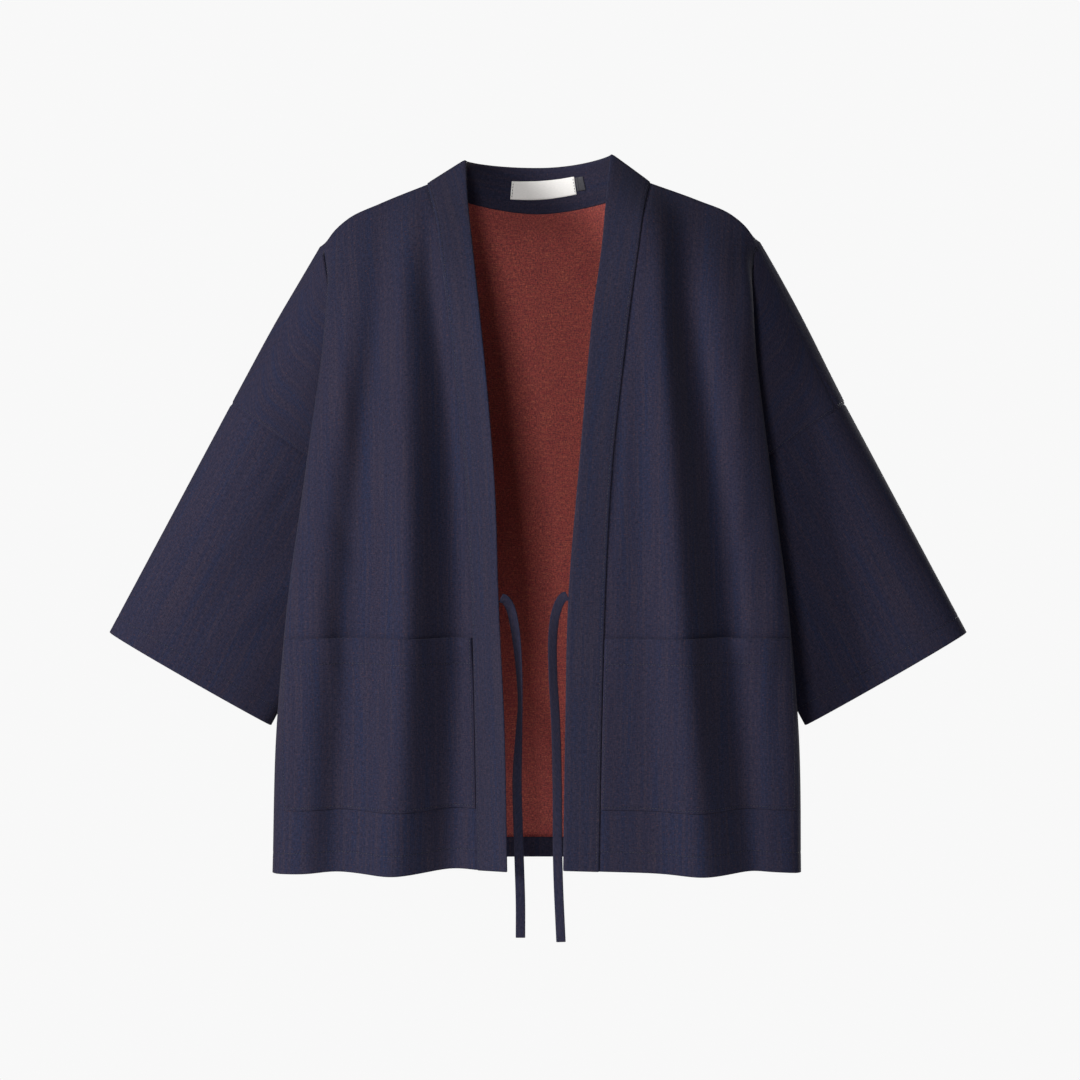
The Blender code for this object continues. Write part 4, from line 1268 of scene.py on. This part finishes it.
@dataclass
class Topstitching:
    """Rows of short sewn stitches, each a thin spindle half sunk in the cloth.

    Attributes:
        name: name of the piece.
        finish: thread material.
        slot: the record's material slot; not used.
        pitch: from stitch to stitch, in mm.
        length: length of a stitch in mm.
        radius: half its thickness in mm.
        lift: how far its middle is over the cloth, in mm.
    """

    name: str
    finish: bpy.types.Material
    slot: str = "navy_band"
    pitch: float = 3.2
    length: float = 2.3
    radius: float = 0.3
    lift: float = 0.04
    rows: list[tuple[Array, Array]] = field(default_factory=list)

    def along(self, shell: ClothShell, patch: int, rows: Array, columns: Array) -> None:
        """Add a row of stitches through places on a shell's outer face."""
        rows, columns = np.broadcast_arrays(np.asarray(rows, float), np.asarray(columns, float))
        self.rows.append(shell.surface(patch, rows, columns, self.lift))

    def down(self, shell: ClothShell, patch: int, distance: float, first: int = 2, last: int = 2) -> None:
        """Add a row of stitches down a grid.

        Args:
            shell: cloth piece.
            patch: which of its grids.
            distance: from the grid's first column, or from its last one if negative, in mm.
            first: rows left free at the start.
            last: rows left free at the end.
        """
        grid = shell.patches[patch].points
        rows = np.arange(first, len(grid) - last)
        self.along(shell, patch, rows, column_line(grid, distance)[first:-last])

    def across(self, shell: ClothShell, distance: float) -> None:
        """Add a row of stitches across a shell's first grid, at a distance down it, or up if negative."""
        grid = shell.patches[0].points
        fall = arcs(grid, 0).mean(axis=1)
        place = distance if distance >= 0 else fall[-1] + distance
        columns = np.arange(2, grid.shape[1] - 2)
        self.along(shell, 0, np.full(len(columns), np.interp(place, fall, np.arange(len(fall)))), columns)

    def build(self) -> bpy.types.Object:
        """Make all stitches.

        A stitch's surface is its middle plus its half length times the way along, plus its radius times
        a profile times the cosine across and the sine out.

        Returns:
            The piece.
        """
        centres, ways, ups = [], [], []
        for points, normals in self.rows:
            reach = np.concatenate([[0], np.cumsum(np.linalg.norm(np.diff(points, axis=0), axis=1))])
            at = np.arange(self.pitch / 2, reach[-1], self.pitch)
            ends = [np.stack([np.interp(at + shift, reach, points[:, k]) for k in range(3)], axis=1)
                    for shift in (-self.length / 2, self.length / 2)]
            way = ends[1] - ends[0]
            centres.append((ends[0] + ends[1]) / 2)
            ways.append(way / np.linalg.norm(way, axis=1, keepdims=True))
            ups.append(np.stack([np.interp(at, reach, normals[:, k]) for k in range(3)], axis=1))
        centre, way, up = (np.concatenate(part) for part in (centres, ways, ups))
        side = np.cross(way, up)
        side /= np.linalg.norm(side, axis=1, keepdims=True)
        up = np.cross(side, way)
        turn = np.arange(6) * math.pi / 3
        rings = [(-0.36, 0.85), (0, 1.0), (0.36, 0.85)]
        parts = [centre[:, None] - way[:, None] * self.length / 2]
        for shift, wide in rings:
            ring = (side[:, None] * np.cos(turn)[None, :, None] + up[:, None] * np.sin(turn)[None, :, None])
            parts.append(centre[:, None] + way[:, None] * shift * self.length + ring * self.radius * wide)
        parts.append(centre[:, None] + way[:, None] * self.length / 2)
        points = np.concatenate(parts, axis=1)
        ring = np.arange(6)
        following = (ring + 1) % 6
        faces = [np.stack([np.zeros(6, int), 1 + following, 1 + ring, 1 + ring], axis=1)]
        for k in (0, 1):
            low, high = 1 + 6 * k, 7 + 6 * k
            faces.append(np.stack([low + ring, low + following, high + following, high + ring], axis=1))
        faces.append(np.stack([np.full(6, 19), 13 + ring, 13 + following, 13 + following], axis=1))
        one = np.concatenate(faces)
        every = (one[None] + 20 * np.arange(len(centre))[:, None, None]).reshape(-1, 4)
        flat = points.reshape(-1, 3)
        piece = mesh_object(self.name, flat * MM, every, np.zeros(len(every)), flat[:, [0, 2]] * MM)
        piece.data.materials.append(self.finish)
        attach(piece, "root")
        LOG.info("%s: %d stitches", self.name, len(centre))
        return piece


def column_line(grid: Array, distance: float) -> Array:
    """Columns at a distance along every row of a grid, counted back from the end if negative."""
    reach = arcs(grid, 1)
    columns = np.arange(reach.shape[1])
    places = distance + (reach[:, -1] if distance < 0 else 0 * reach[:, -1])
    return np.array([np.interp(place, row, columns) for place, row in zip(places, reach)])


def sew(fronts: dict[Side, FrontPanel], sleeves: dict[Side, Sleeve], band: CollarBand,
        pockets: dict[Side, PatchPocket], back: BackPanel, label: InsideLabel, finishes: Finishes) -> None:
    """Lay every row of topstitching on the finished shells.

    Args:
        fronts: the fronts.
        sleeves: the sleeves.
        band: the collar band.
        pockets: the pockets.
        back: the back.
        label: the neck label.
        finishes: the materials.
    """
    seams = Topstitching("topstitching", finishes.thread)
    for distance in (LABEL_STITCH, -LABEL_STITCH):
        seams.down(label.shell, 0, distance, 1, 1)
    seams.down(band.shell, 0, BAND_STITCH, 3, 3)
    for side in Side:
        pocket, front, sleeve = pockets[side], fronts[side].shell, sleeves[side].shell
        for distance in (EDGE_STITCH, -EDGE_STITCH):
            seams.down(pocket.shell, 0, distance)
        for distance in (pocket.hem, -EDGE_STITCH):
            seams.across(pocket.shell, distance)
        seams.across(front, -BODY_HEM.stitch)
        seams.down(front, 1, -EDGE_STITCH, last=UNDERARM_FREE)
        tube = sleeve.patches[0].points
        columns = np.arange(1, tube.shape[1] - 1)
        fall = arcs(tube, 0)
        rows = [np.interp(fall[-1, k] - CUFF_HEM.stitch, fall[:, k], np.arange(len(fall))) for k in columns]
        seams.along(sleeve, 0, rows, columns)
    seams.across(back.shell, -BODY_HEM.stitch)
    for patch, distance in ((1, -EDGE_STITCH), (2, EDGE_STITCH)):
        seams.down(back.shell, patch, distance, last=UNDERARM_FREE)
    seams.build()


@dataclass
class Studio:
    """Camera, lights, floor and the pale surroundings."""

    camera_distance: float = 4.8
    camera_height: float = -0.373
    lens: float = 152.4
    surround: float = 0.94
    fill: float = 0.028
    tint: Colour = (1, 0.99, 0.98)
    floor_height: float = -1.42
    floor_reach: float = 2.6
    floor_rings: int = 27
    floor_spokes: int = 96

    def camera(self) -> None:
        """Camera level with the middle of the jacket, looking along +Y."""
        data = bpy.data.cameras.new("camera")
        data.lens = self.lens
        data.sensor_width = 36
        data.clip_end = 60
        camera = bpy.data.objects.new("camera", data)
        camera.location = (0.002, -self.camera_distance, self.camera_height)
        camera.rotation_euler = (math.radians(90), 0, 0)
        bpy.context.scene.collection.objects.link(camera)
        bpy.context.scene.camera = camera

    def lamp(self, name: str, place: tuple[float, float, float], size: float, power: float) -> None:
        """Square soft light aimed at the middle of the jacket."""
        data = bpy.data.lights.new(name, "AREA")
        data.size = size
        data.energy = power
        data.color = self.tint
        lamp = bpy.data.objects.new(name, data)
        lamp.location = place
        aim = Vector((0.0, 0.0, -0.36)) - Vector(place)
        lamp.rotation_euler = aim.to_track_quat("-Z", "Y").to_euler()
        bpy.context.scene.collection.objects.link(lamp)

    def surroundings(self) -> None:
        """World that looks pale to the camera and lights the cloth more weakly."""
        world = bpy.data.worlds.new("surround")
        bpy.context.scene.world = world
        world.use_nodes = True
        tree = world.node_tree
        back = tree.nodes["Background"]
        seen = tree.nodes.new("ShaderNodeLightPath")
        level = tree.nodes.new("ShaderNodeMapRange")
        level.inputs["To Min"].default_value = self.fill
        level.inputs["To Max"].default_value = self.surround
        tree.links.new(seen.outputs["Is Camera Ray"], level.inputs["Value"])
        tree.links.new(level.outputs["Result"], back.inputs["Strength"])
        back.inputs["Color"].default_value = (1, 1, 1, 1)

    def floor(self) -> None:
        """Round pale floor below the jacket that fades into the surroundings at its edge."""
        shape = (self.floor_rings, self.floor_spokes)
        turn = np.linspace(0, 2 * math.pi, self.floor_spokes + 1)[:-1]
        reach = np.linspace(0.02, self.floor_reach, self.floor_rings)[:, None]
        points = np.stack([reach * np.cos(turn), reach * np.sin(turn), np.full(shape, self.floor_height)],
                          axis=-1)
        grid = np.arange(points.size // 3).reshape(shape)
        following = np.roll(grid, -1, axis=1)
        faces = np.stack([grid[:-1], grid[1:], following[1:], following[:-1]], axis=-1).reshape(-1, 4)
        weave = points[:, :, :2].reshape(-1, 2)
        floor = mesh_object("floor", points.reshape(-1, 3), faces, np.zeros(len(faces)), weave)
        nodes = NodeTree("pale_floor")
        place = nodes.add("ShaderNodeTexCoord")
        length = nodes.add("ShaderNodeVectorMath", operation="LENGTH")
        nodes.join(place.outputs["Object"], length.inputs[0])
        edge = nodes.ramp(length.outputs["Value"], 1.7, 2.9)
        nodes.shader.inputs["Base Color"].default_value = (0.82, 0.82, 0.82, 1)
        nodes.shader.inputs["Roughness"].default_value = 0.9
        glow = nodes.add("ShaderNodeEmission", Strength=self.surround)
        blend = nodes.add("ShaderNodeMixShader")
        nodes.join(edge, blend.inputs[0])
        nodes.join(nodes.shader.outputs[0], blend.inputs[1])
        nodes.join(glow.outputs[0], blend.inputs[2])
        output = nodes.tree.nodes["Material Output"]
        nodes.join(blend.outputs[0], output.inputs["Surface"])
        floor.data.materials.append(nodes.material)

    def build(self) -> None:
        """Set up everything round the jacket."""
        bpy.context.scene.view_settings.view_transform = "Standard"
        self.camera()
        self.surroundings()
        self.floor()
        self.lamp("front_light", (-0.8, -3.9, 1.5), 0.6, 84)
        self.lamp("side_light", (-3.0, -2.3, 0.45), 1.2, 140)
        self.lamp("back_light", (0.9, 4.2, 0.35), 0.8, 118)
        self.lamp("far_light", (2.6, 2.9, 0.1), 1.2, 80)


def main() -> None:
    """Build the pieces in order, then the studio."""
    logging.basicConfig(level=logging.INFO, format="%(name)s %(message)s")
    finishes, drape = Finishes(), Drape()
    fronts = {side: FrontPanel(side, drape, finishes) for side in Side}
    back, band = BackPanel(drape, finishes), CollarBand(drape, finishes)
    sleeves = {side: Sleeve(side, drape, finishes) for side in Side}
    for piece in (*fronts.values(), back, *sleeves.values()):
        piece.build()
    band.build(*(shell.patches[0].points for shell in (
        fronts[Side.RIGHT].shell, fronts[Side.LEFT].shell, back.shell)))
    pockets = {side: PatchPocket(fronts[side], drape, finishes, POCKET_REACH[side]) for side in Side}
    for pocket in pockets.values():
        pocket.build()
    Tie(Side.RIGHT, finishes, (0.010, 0.37)).build()
    Tie(Side.LEFT, finishes, (0.010, 0.38)).build()
    label = InsideLabel("neck_label", (-27, 37), ((14.5, 34.0), (11.5, 31.0)), finishes.white,
                        "label_cloth", (0.065, 0.020))
    label.build(band.shell)
    InsideLabel("size_tab", (38.3, 45.5), ((13, 28.0), (13, 28.0)), finishes.charcoal, "tab_cloth",
                (0.0105, 0.016)).build(band.shell)
    sew(fronts, sleeves, band, pockets, back, label, finishes)
    Studio().build()


if __name__ == "__main__":
    main()
